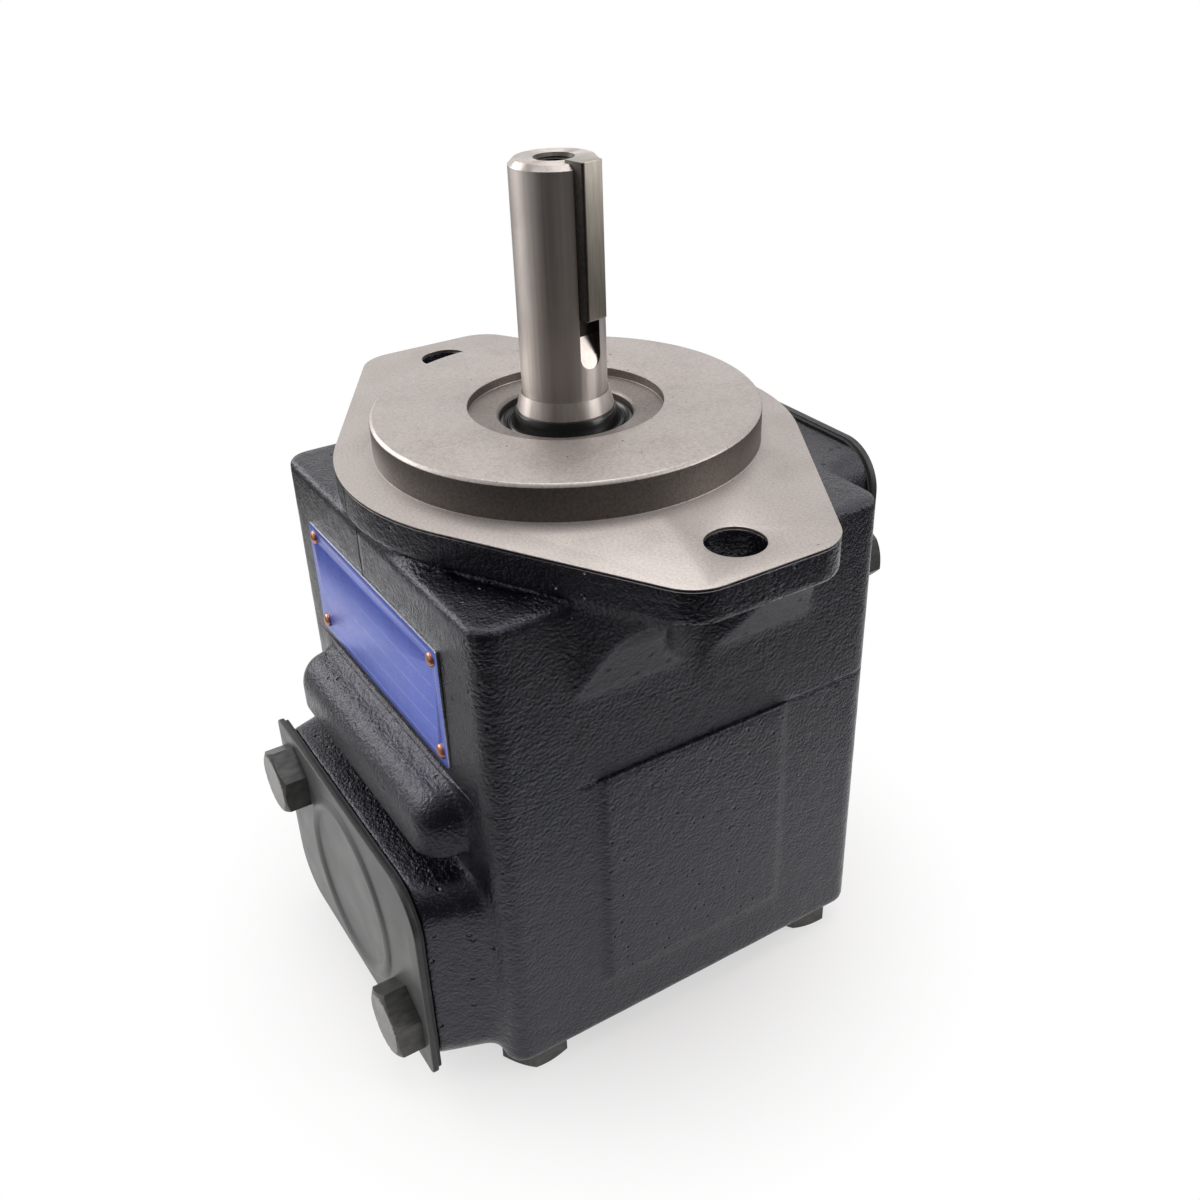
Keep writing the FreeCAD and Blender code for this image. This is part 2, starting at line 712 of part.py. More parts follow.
def split_ring(outer, inner, z0, z1, gap_angle):
    gap = box(0, outer + 1, -ring_gap / 2, ring_gap / 2, min(z0, z1) - 1, max(z0, z1) + 1)
    return tube(outer, inner, z0, z1).cut(about_z(gap, gap_angle))


def ball_track():
    return torus(ball_circle, ball_radius + running_gap, bearing_mid_z)


def bearing_races():
    chamfer = 0.8
    inner_wall = bearing_seat_radius + race_wall
    outer_wall = bearing_outer_radius - race_wall
    inner = turned([(bearing_seat_radius, bearing_bottom_z), (inner_wall, bearing_bottom_z),
                    (inner_wall, bearing_top_z), (bearing_seat_radius + chamfer, bearing_top_z),
                    (bearing_seat_radius, bearing_top_z - chamfer)])
    outer = turned([(outer_wall, bearing_bottom_z), (bearing_outer_radius, bearing_bottom_z),
                    (bearing_outer_radius, bearing_top_z - chamfer),
                    (bearing_outer_radius - chamfer, bearing_top_z), (outer_wall, bearing_top_z)])
    return inner.cut(ball_track()), outer.cut(ball_track())


def ball_places():
    return [vector(ball_circle * math.cos(2 * math.pi * i / bearing_balls),
                   ball_circle * math.sin(2 * math.pi * i / bearing_balls), bearing_mid_z)
            for i in range(bearing_balls)]


def ball_cage():
    band = tube(ball_circle + cage_wall / 2, ball_circle - cage_wall / 2,
                bearing_mid_z - cage_width / 2, bearing_mid_z + cage_width / 2)
    hub = vector(0, 0, bearing_mid_z)
    pockets = [rod(ball_radius + running_gap, hub, hub + (place - hub) * 1.5) for place in ball_places()]
    return band.cut(pockets)


# Cartridge: cam ring, port plates, rotor, vanes

def cam_radius(angle):
    """Inner radius of the ring: dwells at both radii, a smooth ramp between."""
    folded = abs((angle + 90) % 180 - 90)
    share = (folded - cam_dwell_half) / (90 - 2 * cam_dwell_half)
    share = min(max(share, 0), 1)
    return cam_minor_radius + cam_lift * share ** 3 * (10 - 15 * share + 6 * share ** 2)


def cam_point(angle):
    radius = cam_radius(angle)
    return vector(radius * math.cos(math.radians(angle)), radius * math.sin(math.radians(angle)), 0)


def cam_opening():
    edges = []
    for quarter in range(4):
        dwell = quarter * 90
        start = dwell - cam_dwell_half
        end = dwell + cam_dwell_half
        edges.append(Part.Arc(cam_point(start), cam_point(dwell), cam_point(end)).toShape())
        ramp = 90 - 2 * cam_dwell_half
        points = [cam_point(end + ramp * i / cam_curve_points) for i in range(cam_curve_points + 1)]
        curve = Part.BSplineCurve()
        first = vector(-points[0].y, points[0].x, 0).normalize()
        last = vector(-points[-1].y, points[-1].x, 0).normalize()
        curve.interpolate(points, InitialTangent=first, FinalTangent=last)
        edges.append(curve.toShape())
    return Part.Wire(edges)


def cartridge_holes(z0, z1, screw_radius, pin_radius_hole):
    holes = [cylinder(screw_radius, z0, z1, 0, side * screw_circle) for side in (1, -1)]
    holes.append(cylinder(pin_radius_hole, z0, z1, screw_circle))
    return holes


def cam_ring():
    disc = cylinder(cartridge_radius, cam_bottom_z, cam_top_z)
    opening = Part.Face(cam_opening()).extrude(vector(0, 0, cam_width + 2))
    opening.translate(vector(0, 0, cam_bottom_z - 1))
    holes = cartridge_holes(cam_bottom_z - 1, cam_top_z + 1, screw_size / 2 + bolt_gap,
                            dowel_size / 2 + locating_gap)
    return cut_all(disc, [opening] + holes)


def suction_notches(z0, z1):
    return [sector(kidney_inner_radius, cartridge_radius + 1, kidney_half_angle, middle, z0, z1)
            for middle in (kidney_angle, kidney_angle + 180)]


def pressure_kidneys(inner, outer, z0, z1):
    return [sector(inner, outer, kidney_half_angle, middle, z0, z1)
            for middle in (kidney_angle + 90, kidney_angle + 270)]


def rim_groove(radius, z):
    half = ring_section / 2 + running_gap
    return tube(radius + 1, radius + running_gap - ring_section - running_gap, z - half, z + half)


def front_port_plate():
    solid = fuse_all([cylinder(cartridge_radius, cam_top_z, plate_top_z),
                      cylinder(hub_radius, plate_top_z - 1, hub_top_z)])
    cuts = [cylinder(shaft_core_radius + chip_gap, cam_top_z - 1, hub_top_z + 1),
            cylinder(shaft_collar_radius + chip_gap, hub_top_z + 1, collar_end_z - 1),
            rim_groove(hub_radius, hub_ring_z), rim_groove(cartridge_radius, rim_ring_z)]
    cuts += suction_notches(cam_top_z - 1, cam_top_z + kidney_depth)
    cuts += pressure_kidneys(kidney_inner_radius, kidney_outer_radius, cam_top_z - 1, cam_top_z + kidney_lift)
    cuts += pressure_kidneys(hub_radius + chip_gap, kidney_chamber_radius, cam_top_z + kidney_depth,
                             plate_top_z + 1)
    cuts += cartridge_holes(cam_top_z - 1, cam_top_z + screw_grip + 1, screw_size / 2 + thread_gap,
                            dowel_size / 2 + locating_gap)
    return cut_all(solid, cuts)


def rear_port_plate():
    solid = fuse_all([cylinder(cartridge_radius, cam_bottom_z, rear_plate_end_z),
                      cylinder(rear_hub_radius, rear_plate_end_z + 1, rear_hub_end_z)])
    cuts = [cylinder(bush_outer_radius, cam_bottom_z + 1, cam_bottom_z - bush_length - rear_seat_depth / 2)]
    cuts += suction_notches(cam_bottom_z + 1, cam_bottom_z - kidney_depth)
    cuts += pressure_kidneys(kidney_inner_radius, kidney_outer_radius, cam_bottom_z + 1,
                             cam_bottom_z - kidney_depth)
    for side in (1, -1):
        cuts.append(cylinder(screw_size / 2 + bolt_gap, cam_bottom_z + 1, rear_plate_end_z - 1,
                             0, side * screw_circle))
    cuts.append(cylinder(dowel_size / 2 + locating_gap, cam_bottom_z + 1,
                         cam_bottom_z - dowel_overlap - chip_gap, screw_circle))
    return cut_all(solid, cuts)


def rear_bush():
    return tube(bush_outer_radius, bush_inner_radius, cam_bottom_z - running_gap, cam_bottom_z - bush_length)


def cartridge_screw(side):
    tip_z = cam_top_z + screw_grip
    shank = cylinder(screw_size / 2, rear_plate_end_z, tip_z, 0, side * screw_circle)
    head = cylinder(screw_head_radius, rear_plate_end_z - screw_head_height, rear_plate_end_z, 0,
                    side * screw_circle)
    socket = turned_hexagon(screw_size * 0.48, screw_head_height / 2)
    socket.translate(vector(0, side * screw_circle, rear_plate_end_z - screw_head_height))
    return fuse_all([shank, head]).cut(socket)


def turned_hexagon(corner, height):
    points = [vector(corner * math.cos(math.radians(60 * i)), corner * math.sin(math.radians(60 * i)), 0)
              for i in range(7)]
    return Part.Face(Part.makePolygon(points)).extrude(vector(0, 0, height))


def cartridge_dowel():
    return cylinder(dowel_size / 2, cam_bottom_z - dowel_overlap, cam_top_z + dowel_overlap, screw_circle)


def rotor():
    disc = cylinder(rotor_radius, vane_bottom_z, vane_top_z)
    bore = spline(shaft_core_radius + running_gap, spline_root_radius + running_gap,
                  spline_tooth_width + 2 * running_gap, cam_top_z + 1, cam_bottom_z - 1)
    half = vane_thickness / 2 + running_gap
    slot = box(slot_floor_radius, rotor_radius + 1, -half, half, cam_bottom_z - 1, cam_top_z + 1)
    middle_z = (cam_top_z + cam_bottom_z) / 2
    bore_line = rod(pin_radius + running_gap, vector(pin_floor_radius, 0, middle_z),
                    vector(vane_inner_radius + running_gap, 0, middle_z))
    cuts = [bore]
    for i in range(vane_count):
        cuts.append(about_z(slot, 360 / vane_count * i))
        cuts.append(about_z(bore_line, 360 / vane_count * i))
    return cut_all(disc, cuts)


def vane(index):
    half = vane_thickness / 2
    outer = vane_inner_radius + vane_height
    blade = box(vane_inner_radius, outer, -half, half, vane_bottom_z, vane_top_z)
    tip = [e for e in blade.Edges
           if abs(e.CenterOfMass.x - outer) < 0.01 and abs(abs(e.CenterOfMass.y) - half) < 0.01]
    return about_z(blade.makeChamfer(vane_thickness / 4, tip), 360 / vane_count * index)


def vane_pin(index):
    middle_z = (cam_top_z + cam_bottom_z) / 2
    pin = rod(pin_radius, vector(pin_inner_radius, 0, middle_z), vector(vane_inner_radius, 0, middle_z))
    return about_z(pin, 360 / vane_count * index)


# Nameplate

def nameplate():
    wire = rounded_rectangle(plate_size[0], plate_size[1], [plate_corner] * 4)
    sheet = Part.Face(wire).extrude(vector(0, 0, plate_gauge))
    middle = -plate_top - plate_size[1] / 2
    sheet.translate(vector(plate_shift, 0, 0))
    holes = [cylinder(rivet_shank_radius, -1, plate_gauge + 1, x, z - middle) for x, z in rivet_places()]
    return on_side(cut_all(sheet, holes), -1, body_half, middle)


def nameplate_rivet(x, z):
    sphere = (rivet_radius ** 2 + rivet_height ** 2) / 2 / rivet_height
    dome = Part.makeSphere(sphere, vector(0, 0, rivet_height - sphere))
    dome = dome.common(cylinder(rivet_radius, 0, rivet_height))
    shank = cylinder(rivet_shank_radius, -rivet_length, 0.1)
    placed = on_side(fuse_all([dome, shank]), -1, body_half + plate_gauge, z)
    placed.translate(vector(x, 0, 0))
    return placed


# Every piece, by its name

pieces = {
    "mounting_cap": mounting_cap(),
    "rear_housing": rear_housing(),
    "drive_shaft": drive_shaft(),
    "shaft_key": shaft_key(),
    "shaft_seal": shaft_seal(),
    "seal_garter_spring": torus(garter_centre()[0], garter_radius, garter_centre()[1]),
    "bearing_balls": Part.makeCompound([Part.makeSphere(ball_radius, place) for place in ball_places()]),
    "bearing_cage": ball_cage(),
    "bearing_retaining_ring": split_ring(bore_inner_radius + bore_ring_seat - running_gap,
                                         bore_inner_radius + bore_ring_seat - bore_ring_wall,
                                         bearing_bottom_z, bore_ring_bottom_z, 90),
    "shaft_retaining_ring": split_ring(bearing_seat_radius - shaft_ring_seat + shaft_ring_wall,
                                       bearing_seat_radius - shaft_ring_seat, bearing_top_z,
                                       bearing_top_z + shaft_ring_thickness, 0),
    "front_port_plate": front_port_plate(),
    "rear_port_plate": rear_port_plate(),
    "rear_bush": rear_bush(),
    "cam_ring": cam_ring(),
    "rotor": rotor(),
    "cartridge_dowel": cartridge_dowel(),
    "cartridge_screw_1": cartridge_screw(1),
    "cartridge_screw_2": cartridge_screw(-1),
    "hub_seal_ring": torus(hub_radius + running_gap - ring_section / 2, ring_section / 2, hub_ring_z),
    "rim_seal_ring": torus(cartridge_radius + running_gap - ring_section / 2, ring_section / 2, rim_ring_z),
    "housing_seal_ring": torus(face_ring_radius, face_ring_section / 2, joint_z - face_ring_section / 2),
    "nameplate": nameplate(),
}

pieces["bearing_inner_race"], pieces["bearing_outer_race"] = bearing_races()

for index in range(vane_count):
    pieces["vane_%02d" % (index + 1)] = vane(index)
    pieces["vane_pin_%02d" % (index + 1)] = vane_pin(index)

bolt = hex_bolt(large_bolt_size, large_bolt_across, large_bolt_head, housing_length + housing_bolt_engagement)
bolt.rotate(vector(0, 0, 0), vector(1, 0, 0), 180)
for index, (x, y) in enumerate(bolt_corners()):
    placed = about_z(bolt, housing_bolt_turns[index])
    placed.translate(vector(x, y, housing_end_z))
    pieces["housing_bolt_%d" % (index + 1)] = placed

for name, port in ports.items():
    pieces[name + "_cover"] = port_cover(port)
    pieces[name + "_cover_gasket"] = port_gasket(port)
    for number, fastener in enumerate(port_bolts(port)):
        pieces["%s_cover_bolt_%d" % (name, number + 1)] = fastener

rivets = [nameplate_rivet(x, z) for x, z in rivet_places()]
pieces["nameplate_rivets"] = Part.makeCompound(rivets)

for name, shape in pieces.items():
    shape.exportStep("parts/%s.step" % name)
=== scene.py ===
import bpy
import bmesh
import json
import math
import numpy as np
from contextlib import contextmanager
from mathutils import Euler, Matrix, Quaternion, Vector, noise


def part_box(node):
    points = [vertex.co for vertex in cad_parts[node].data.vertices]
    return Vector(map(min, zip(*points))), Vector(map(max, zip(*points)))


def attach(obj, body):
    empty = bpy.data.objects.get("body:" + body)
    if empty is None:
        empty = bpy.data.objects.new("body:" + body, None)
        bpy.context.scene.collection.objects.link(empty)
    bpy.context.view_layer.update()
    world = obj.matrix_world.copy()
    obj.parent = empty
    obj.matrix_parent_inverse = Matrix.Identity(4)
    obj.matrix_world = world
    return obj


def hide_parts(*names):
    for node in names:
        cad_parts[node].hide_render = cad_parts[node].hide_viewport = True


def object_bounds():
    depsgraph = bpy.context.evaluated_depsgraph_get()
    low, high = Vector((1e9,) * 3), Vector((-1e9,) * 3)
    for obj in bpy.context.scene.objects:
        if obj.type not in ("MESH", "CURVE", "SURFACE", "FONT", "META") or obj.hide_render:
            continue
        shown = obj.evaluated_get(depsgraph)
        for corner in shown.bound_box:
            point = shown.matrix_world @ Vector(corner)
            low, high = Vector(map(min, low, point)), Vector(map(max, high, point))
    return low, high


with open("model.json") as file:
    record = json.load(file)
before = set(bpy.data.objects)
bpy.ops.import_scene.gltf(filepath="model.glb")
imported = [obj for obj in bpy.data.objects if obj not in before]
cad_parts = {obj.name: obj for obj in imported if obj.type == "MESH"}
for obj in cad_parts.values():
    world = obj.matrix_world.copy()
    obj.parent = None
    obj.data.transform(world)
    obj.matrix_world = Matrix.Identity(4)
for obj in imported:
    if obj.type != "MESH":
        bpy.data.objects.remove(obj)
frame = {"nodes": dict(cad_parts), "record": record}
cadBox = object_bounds()
nodes = frame["nodes"]
scene = bpy.context.scene
mm = 0.001


# Helpers for node trees

def setInputs(tree, node, inputs):
    for key, value in inputs.items():
        if isinstance(value, bpy.types.NodeSocket):
            tree.links.new(value, node.inputs[key])
        else:
            node.inputs[key].default_value = value


def put(tree, kind, inputs=None, **settings):
    node = tree.nodes.new(kind)
    for name, value in settings.items():
        setattr(node, name, value)
    setInputs(tree, node, inputs or {})
    return node


def calculate(tree, operation, *values):
    return put(tree, "ShaderNodeMath", dict(enumerate(values)), operation=operation).outputs[0]


def ramp(tree, value, low, high, bottom=0.0, top=1.0):
    return put(tree, "ShaderNodeMapRange", {"Value": value, "From Min": low, "From Max": high,
                                            "To Min": bottom, "To Max": top}).outputs["Result"]


def blendColours(tree, share, first, second):
    ends = [value if isinstance(value, bpy.types.NodeSocket) else (*value, 1) for value in (first, second)]
    return put(tree, "ShaderNodeMix", {0: share, 6: ends[0], 7: ends[1]}, data_type="RGBA").outputs[2]


def noiseAt(tree, place, scale, detail, roughness=0.5):
    inputs = {"Scale": scale, "Detail": detail, "Roughness": roughness}
    if place is not None:
        inputs["Vector"] = place
    return put(tree, "ShaderNodeTexNoise", inputs).outputs[0]


def partsOf(tree, vector):
    return put(tree, "ShaderNodeSeparateXYZ", {0: vector}).outputs


def combine(tree, x=0.0, y=0.0, z=0.0):
    return put(tree, "ShaderNodeCombineXYZ", {0: x, 1: y, 2: z}).outputs[0]


def gapTo(tree, value, middle):
    return calculate(tree, "ABSOLUTE", calculate(tree, "SUBTRACT", value, middle))


def offAxis(tree, parts):
    squares = [calculate(tree, "MULTIPLY", part, part) for part in (parts[0], parts[1])]
    return calculate(tree, "SQRT", calculate(tree, "ADD", *squares))


def newGroup(name, inputs, outputs, kind="ShaderNodeTree"):
    tree = bpy.data.node_groups.new(name, kind)
    for label, (type, value) in inputs.items():
        socket = tree.interface.new_socket(name=label, in_out="INPUT", socket_type="NodeSocket" + type)
        if value is not None:
            socket.default_value = value
    for label, type in outputs.items():
        tree.interface.new_socket(name=label, in_out="OUTPUT", socket_type="NodeSocket" + type)
    return tree, tree.nodes.new("NodeGroupInput").outputs, tree.nodes.new("NodeGroupOutput")


def useGroup(tree, group, **inputs):
    return put(tree, "ShaderNodeGroup", inputs, node_tree=group).outputs


# Shared effects: each one puts out colours, masks or heights only

def castSkinGroup():
    tree, given, result = newGroup(
        "castSkin",
        {"Place": ("Vector", None), "PeelScale": ("Float", 1050.0), "LumpScale": ("Float", 300.0),
         "LumpShare": ("Float", 0.55), "PoreScale": ("Float", 300.0), "PoreShare": ("Float", 0.2),
         "PoreDepth": ("Float", 1.2), "PoreCore": ("Float", 0.1), "PoreRim": ("Float", 0.24)},
        {"Height": "Float", "Pores": "Float", "Mottle": "Float"})
    peel = noiseAt(tree, given["Place"], given["PeelScale"], 3.0, 0.6)
    lumps = noiseAt(tree, given["Place"], given["LumpScale"], 1.0)
    cells = put(tree, "ShaderNodeTexVoronoi", {"Vector": given["Place"], "Scale": given["PoreScale"]}).outputs
    cellValue = put(tree, "ShaderNodeSeparateColor", {0: cells["Color"]}).outputs[0]
    chosen = calculate(tree, "LESS_THAN", cellValue, given["PoreShare"])
    pit = ramp(tree, cells["Distance"], given["PoreCore"], given["PoreRim"], 1.0, 0.0)
    pores = calculate(tree, "MULTIPLY", pit, chosen)
    height = calculate(tree, "MULTIPLY_ADD", lumps, given["LumpShare"], peel)
    height = calculate(tree, "SUBTRACT", height, calculate(tree, "MULTIPLY", pores, given["PoreDepth"]))
    setInputs(tree, result, {"Height": height, "Pores": pores, "Mottle": lumps})
    return tree


# Lighter convex edges: partly thin, worn paint and partly a painted highlight along them
def edgeWearAndSheenGroup():
    tree, given, result = newGroup(
        "edgeWearAndSheen",
        {"Edge": ("Float", 0.0), "Place": ("Vector", None), "Start": ("Float", 0.25), "End": ("Float", 0.7),
         "Breakup": ("Float", 0.35), "Scale": ("Float", 400.0)},
        {"Mask": "Float"})
    grit = calculate(tree, "SUBTRACT", noiseAt(tree, given["Place"], given["Scale"], 3.0), 0.5)
    edge = calculate(tree, "MULTIPLY_ADD", grit, given["Breakup"], given["Edge"])
    setInputs(tree, result, {"Mask": ramp(tree, edge, given["Start"], given["End"])})
    return tree


def turnedMarksGroup():
    tree, given, result = newGroup(
        "turnedMarks",
        {"Place": ("Vector", None), "RingScale": ("Float", 2600.0), "RiseScale": ("Float", 2600.0),
         "SpeckScale": ("Float", 1500.0), "CloudScale": ("Float", 45.0)},
        {"Marks": "Float", "Specks": "Float", "Clouds": "Float"})
    parts = partsOf(tree, given["Place"])
    rings = calculate(tree, "MULTIPLY", offAxis(tree, parts), given["RingScale"])
    line = combine(tree, rings, calculate(tree, "MULTIPLY", parts[2], given["RiseScale"]))
    setInputs(tree, result, {"Marks": noiseAt(tree, line, 1.0, 2.0),
                             "Specks": noiseAt(tree, given["Place"], given["SpeckScale"], 2.0, 0.6),
                             "Clouds": noiseAt(tree, given["Place"], given["CloudScale"], 3.0)})
    return tree


def grainGroup():
    tree, given, result = newGroup(
        "fineGrain",
        {"Place": ("Vector", None), "Stretch": ("Vector", (1.0, 1.0, 1.0)), "Scale": ("Float", 900.0),
         "Detail": ("Float", 3.0), "PatchScale": ("Float", 90.0)},
        {"Grain": "Float", "Patches": "Float"})
    drawn = put(tree, "ShaderNodeVectorMath", {0: given["Place"], 1: given["Stretch"]}, operation="MULTIPLY")
    setInputs(tree, result, {"Grain": noiseAt(tree, drawn.outputs[0], given["Scale"], given["Detail"], 0.6),
                             "Patches": noiseAt(tree, given["Place"], given["PatchScale"], 2.0)})
    return tree


castSkin = castSkinGroup()
edgeWearAndSheen = edgeWearAndSheenGroup()
turnedMarks = turnedMarksGroup()
fineGrain = grainGroup()


# Materials

# Nearly all values of a noise lie between these two
noiseRange = (0.3, 0.7)


def startMaterial(name):
    material = bpy.data.materials.new(name)
    material.use_nodes = True
    tree = material.node_tree
    tree.nodes.clear()
    return material, tree, tree.nodes.new("ShaderNodeTexCoord").outputs["Object"]


# The shader with the sockets and values it is given, and the height as its bump
def closeMaterial(tree, height, depth, inputs):
    bump = put(tree, "ShaderNodeBump", {"Height": height, "Distance": depth, "Strength": 1.0})
    shader = put(tree, "ShaderNodeBsdfPrincipled", {**inputs, "Normal": bump.outputs[0]})
    put(tree, "ShaderNodeOutputMaterial", {0: shader.outputs[0]})


castPaint = {
    "colour": (0.0042, 0.0039, 0.0068),
    "thinPaintAndSheenColour": (0.018, 0.018, 0.026),
    "poreColour": (0.001, 0.001, 0.0015),
    "wearAndSheenStart": 0.35,
    "wearAndSheenShare": 0.6,
    "roughness": (0.15, 0.26),
    "specular": 0.5,
    "tint": (0.88, 0.86, 1.0),
    "peelDepth": 0.42 * mm,
    "seamPlace": -5.6 * mm,
    "seamWidth": 1.1 * mm,
    "seamCore": 0.25,
    "seamEnd": -28.0 * mm,
    "seamSide": -50.0 * mm,
}


# The hairline that the mould's halves left, from the flange down to the plate
def mouldSeam(tree, place):
    parts = partsOf(tree, place)
    width = castPaint["seamWidth"]
    off = gapTo(tree, parts[0], castPaint["seamPlace"])
    line = ramp(tree, off, castPaint["seamCore"] * width, width, 1.0, 0.0)
    atPlate = calculate(tree, "MULTIPLY", calculate(tree, "LESS_THAN", parts[1], castPaint["seamSide"]),
                        calculate(tree, "GREATER_THAN", parts[2], castPaint["seamEnd"]))
    return calculate(tree, "MULTIPLY", line, atPlate)


def paintedCasting():
    material, tree, place = startMaterial("castPaint")
    skin = useGroup(tree, castSkin, Place=place)
    seam = mouldSeam(tree, place)
    edge = put(tree, "ShaderNodeAttribute", attribute_name="edge").outputs["Fac"]
    # Convex edges blend towards the lighter thin-paint colour: partly wear, partly a painted highlight
    wornAndSheen = useGroup(tree, edgeWearAndSheen, Place=place, Edge=edge, Start=castPaint["wearAndSheenStart"], End=1.0)["Mask"]
    colour = blendColours(tree, calculate(tree, "MULTIPLY", wornAndSheen, castPaint["wearAndSheenShare"]),
                          castPaint["colour"], castPaint["thinPaintAndSheenColour"])
    dark = calculate(tree, "MAXIMUM", skin["Pores"], seam)
    closeMaterial(tree, calculate(tree, "SUBTRACT", skin["Height"], seam), castPaint["peelDepth"], {
        "Base Color": blendColours(tree, dark, colour, castPaint["poreColour"]),
        "Roughness": ramp(tree, skin["Mottle"], *noiseRange, *castPaint["roughness"]),
        "Specular IOR Level": castPaint["specular"], "Specular Tint": (*castPaint["tint"], 1)})
    return material


# The side and recess tones are darker copies of the bright iron: painted shade on the upright faces, the
# holes' walls and the recess's floor
machinedFace = {
    "tones": {
        "machinedIron": ((0.48, 0.432, 0.408), (0.28, 0.248, 0.23)),
        "machinedIronSideShade": ((0.15, 0.128, 0.115), (0.06, 0.05, 0.045)),
        "machinedIronRecessShade": ((0.27, 0.235, 0.215), (0.12, 0.1, 0.09)),
    },
    "speckRange": (0.35, 0.68),
    "speckShare": 0.5,
    "cloudRange": (0.45, 0.75),
    "cloudShare": 0.35,
    "poreColour": (0.05, 0.045, 0.04),
    "poreScale": 700.0,
    "poreRange": (0.72, 0.78),
    "metallic": 0.72,
    "roughness": (0.36, 0.5),
    "markDepth": 0.012 * mm,
}


def machinedIron(name, colour, darkColour):
    material, tree, place = startMaterial(name)
    marks = useGroup(tree, turnedMarks, Place=place)
    pores = ramp(tree, noiseAt(tree, place, machinedFace["poreScale"], 2.0), *machinedFace["poreRange"])
    specks = ramp(tree, marks["Specks"], *machinedFace["speckRange"])
    share = calculate(tree, "MULTIPLY_ADD", ramp(tree, marks["Clouds"], *machinedFace["cloudRange"]),
                      machinedFace["cloudShare"],
                      calculate(tree, "MULTIPLY", specks, machinedFace["speckShare"]))
    colour = blendColours(tree, share, colour, darkColour)
    closeMaterial(tree, calculate(tree, "ADD", marks["Marks"], marks["Specks"]), machinedFace["markDepth"], {
        "Base Color": blendColours(tree, pores, colour, machinedFace["poreColour"]),
        "Roughness": ramp(tree, marks["Clouds"], *noiseRange, *machinedFace["roughness"]),
        "Metallic": machinedFace["metallic"]})
    return material


turnedMetal = {"dirtRange": (0.4, 0.75), "dirtTone": 0.55, "markDepth": 0.004 * mm}


# Turned or ground metal: fine marks round the shaft's axis, clouds of roughness
def groundMetal(name, colour, metallic=1.0, roughness=(0.2, 0.32), ringScale=60.0, riseScale=5200.0,
                dirt=0.25):
    material, tree, place = startMaterial(name)
    marks = useGroup(tree, turnedMarks, Place=place, RingScale=ringScale, RiseScale=riseScale)
    share = calculate(tree, "MULTIPLY", ramp(tree, marks["Specks"], *turnedMetal["dirtRange"]), dirt)
    dark = tuple(part * turnedMetal["dirtTone"] for part in colour)
    closeMaterial(tree, marks["Marks"], turnedMetal["markDepth"], {
        "Base Color": blendColours(tree, share, colour, dark),
        "Roughness": ramp(tree, marks["Clouds"], *noiseRange, *roughness), "Metallic": metallic})
    return material


twoTones = {"grainRange": (0.35, 0.7), "grainShare": 0.7, "patchRange": (0.4, 0.7), "patchShare": 0.3}


# Paint, rubber, oxide or rolled metal: two tones mixed by grain and patches
def grainedSurface(name, colour, second, metallic=0.0, roughness=(0.4, 0.6), depth=0.02 * mm, scale=900.0,
                   stretch=(1.0, 1.0, 1.0), specular=0.5):
    material, tree, place = startMaterial(name)
    grain = useGroup(tree, fineGrain, Place=place, Stretch=stretch, Scale=scale)
    patches = calculate(tree, "MULTIPLY", ramp(tree, grain["Patches"], *twoTones["patchRange"]),
                        twoTones["patchShare"])
    share = calculate(tree, "MULTIPLY_ADD", ramp(tree, grain["Grain"], *twoTones["grainRange"]),
                      twoTones["grainShare"], patches)
    closeMaterial(tree, grain["Grain"], depth, {
        "Base Color": blendColours(tree, share, colour, second),
        "Roughness": ramp(tree, grain["Patches"], *noiseRange, *roughness),
        "Metallic": metallic, "Specular IOR Level": specular})
    return material


groundShaft = {
    "colour": (0.56, 0.515, 0.485),
    "streakColour": (0.43, 0.37, 0.34),
    "streakScale": 420.0,
    "streakRange": (0.35, 0.7),
    "alongShaft": 0.02,
    "ringScale": 60.0,
    "riseScale": 1500.0,
    "roughness": (0.36, 0.45),
    "roughRange": (0.35, 0.65),
    "cloudShare": 0.85,
    "grindSpread": 0.85,
    "grindTurn": 0.25,
    "markDepth": 0.001 * mm,
}


def groundSteel():
    material, tree, place = startMaterial("groundSteel")
    streaks = useGroup(tree, fineGrain, Place=place, Stretch=(1.0, 1.0, groundShaft["alongShaft"]),
                       Scale=groundShaft["streakScale"])
    marks = useGroup(tree, turnedMarks, Place=place, RingScale=groundShaft["ringScale"],
                     RiseScale=groundShaft["riseScale"])
    share = ramp(tree, streaks["Grain"], *groundShaft["streakRange"])
    rings = calculate(tree, "MULTIPLY", marks["Marks"], 1 - groundShaft["cloudShare"])
    uneven = calculate(tree, "MULTIPLY_ADD", marks["Clouds"], groundShaft["cloudShare"], rings)
    tangent = put(tree, "ShaderNodeTangent", direction_type="RADIAL", axis="Z")
    closeMaterial(tree, marks["Marks"], groundShaft["markDepth"], {
        "Base Color": blendColours(tree, share, groundShaft["colour"], groundShaft["streakColour"]),
        "Roughness": ramp(tree, uneven, *groundShaft["roughRange"], *groundShaft["roughness"]),
        "Metallic": 1.0, "Anisotropic": groundShaft["grindSpread"],
        "Anisotropic Rotation": groundShaft["grindTurn"], "Tangent": tangent.outputs[0]})
    return material


plateFace = {
    "blue": (0.11, 0.18, 0.74),
    "deepBlue": (0.075, 0.115, 0.52),
    "line": (0.3, 0.36, 0.78),
    "lineWidth": 0.22 * mm,
    "borderInset": 2.0 * mm,
    "fieldLevels": (-38.0 * mm, -44.5 * mm, -51.0 * mm),
    "fieldStart": -16.0 * mm,
    "fieldMargin": 3.0 * mm,
    "brushScale": 2600.0,
    "brushStretch": (0.08, 1.0, 1.0),
    "brushDepth": 0.004 * mm,
    "roughness": (0.24, 0.36),
    "metallic": 0.35,
}


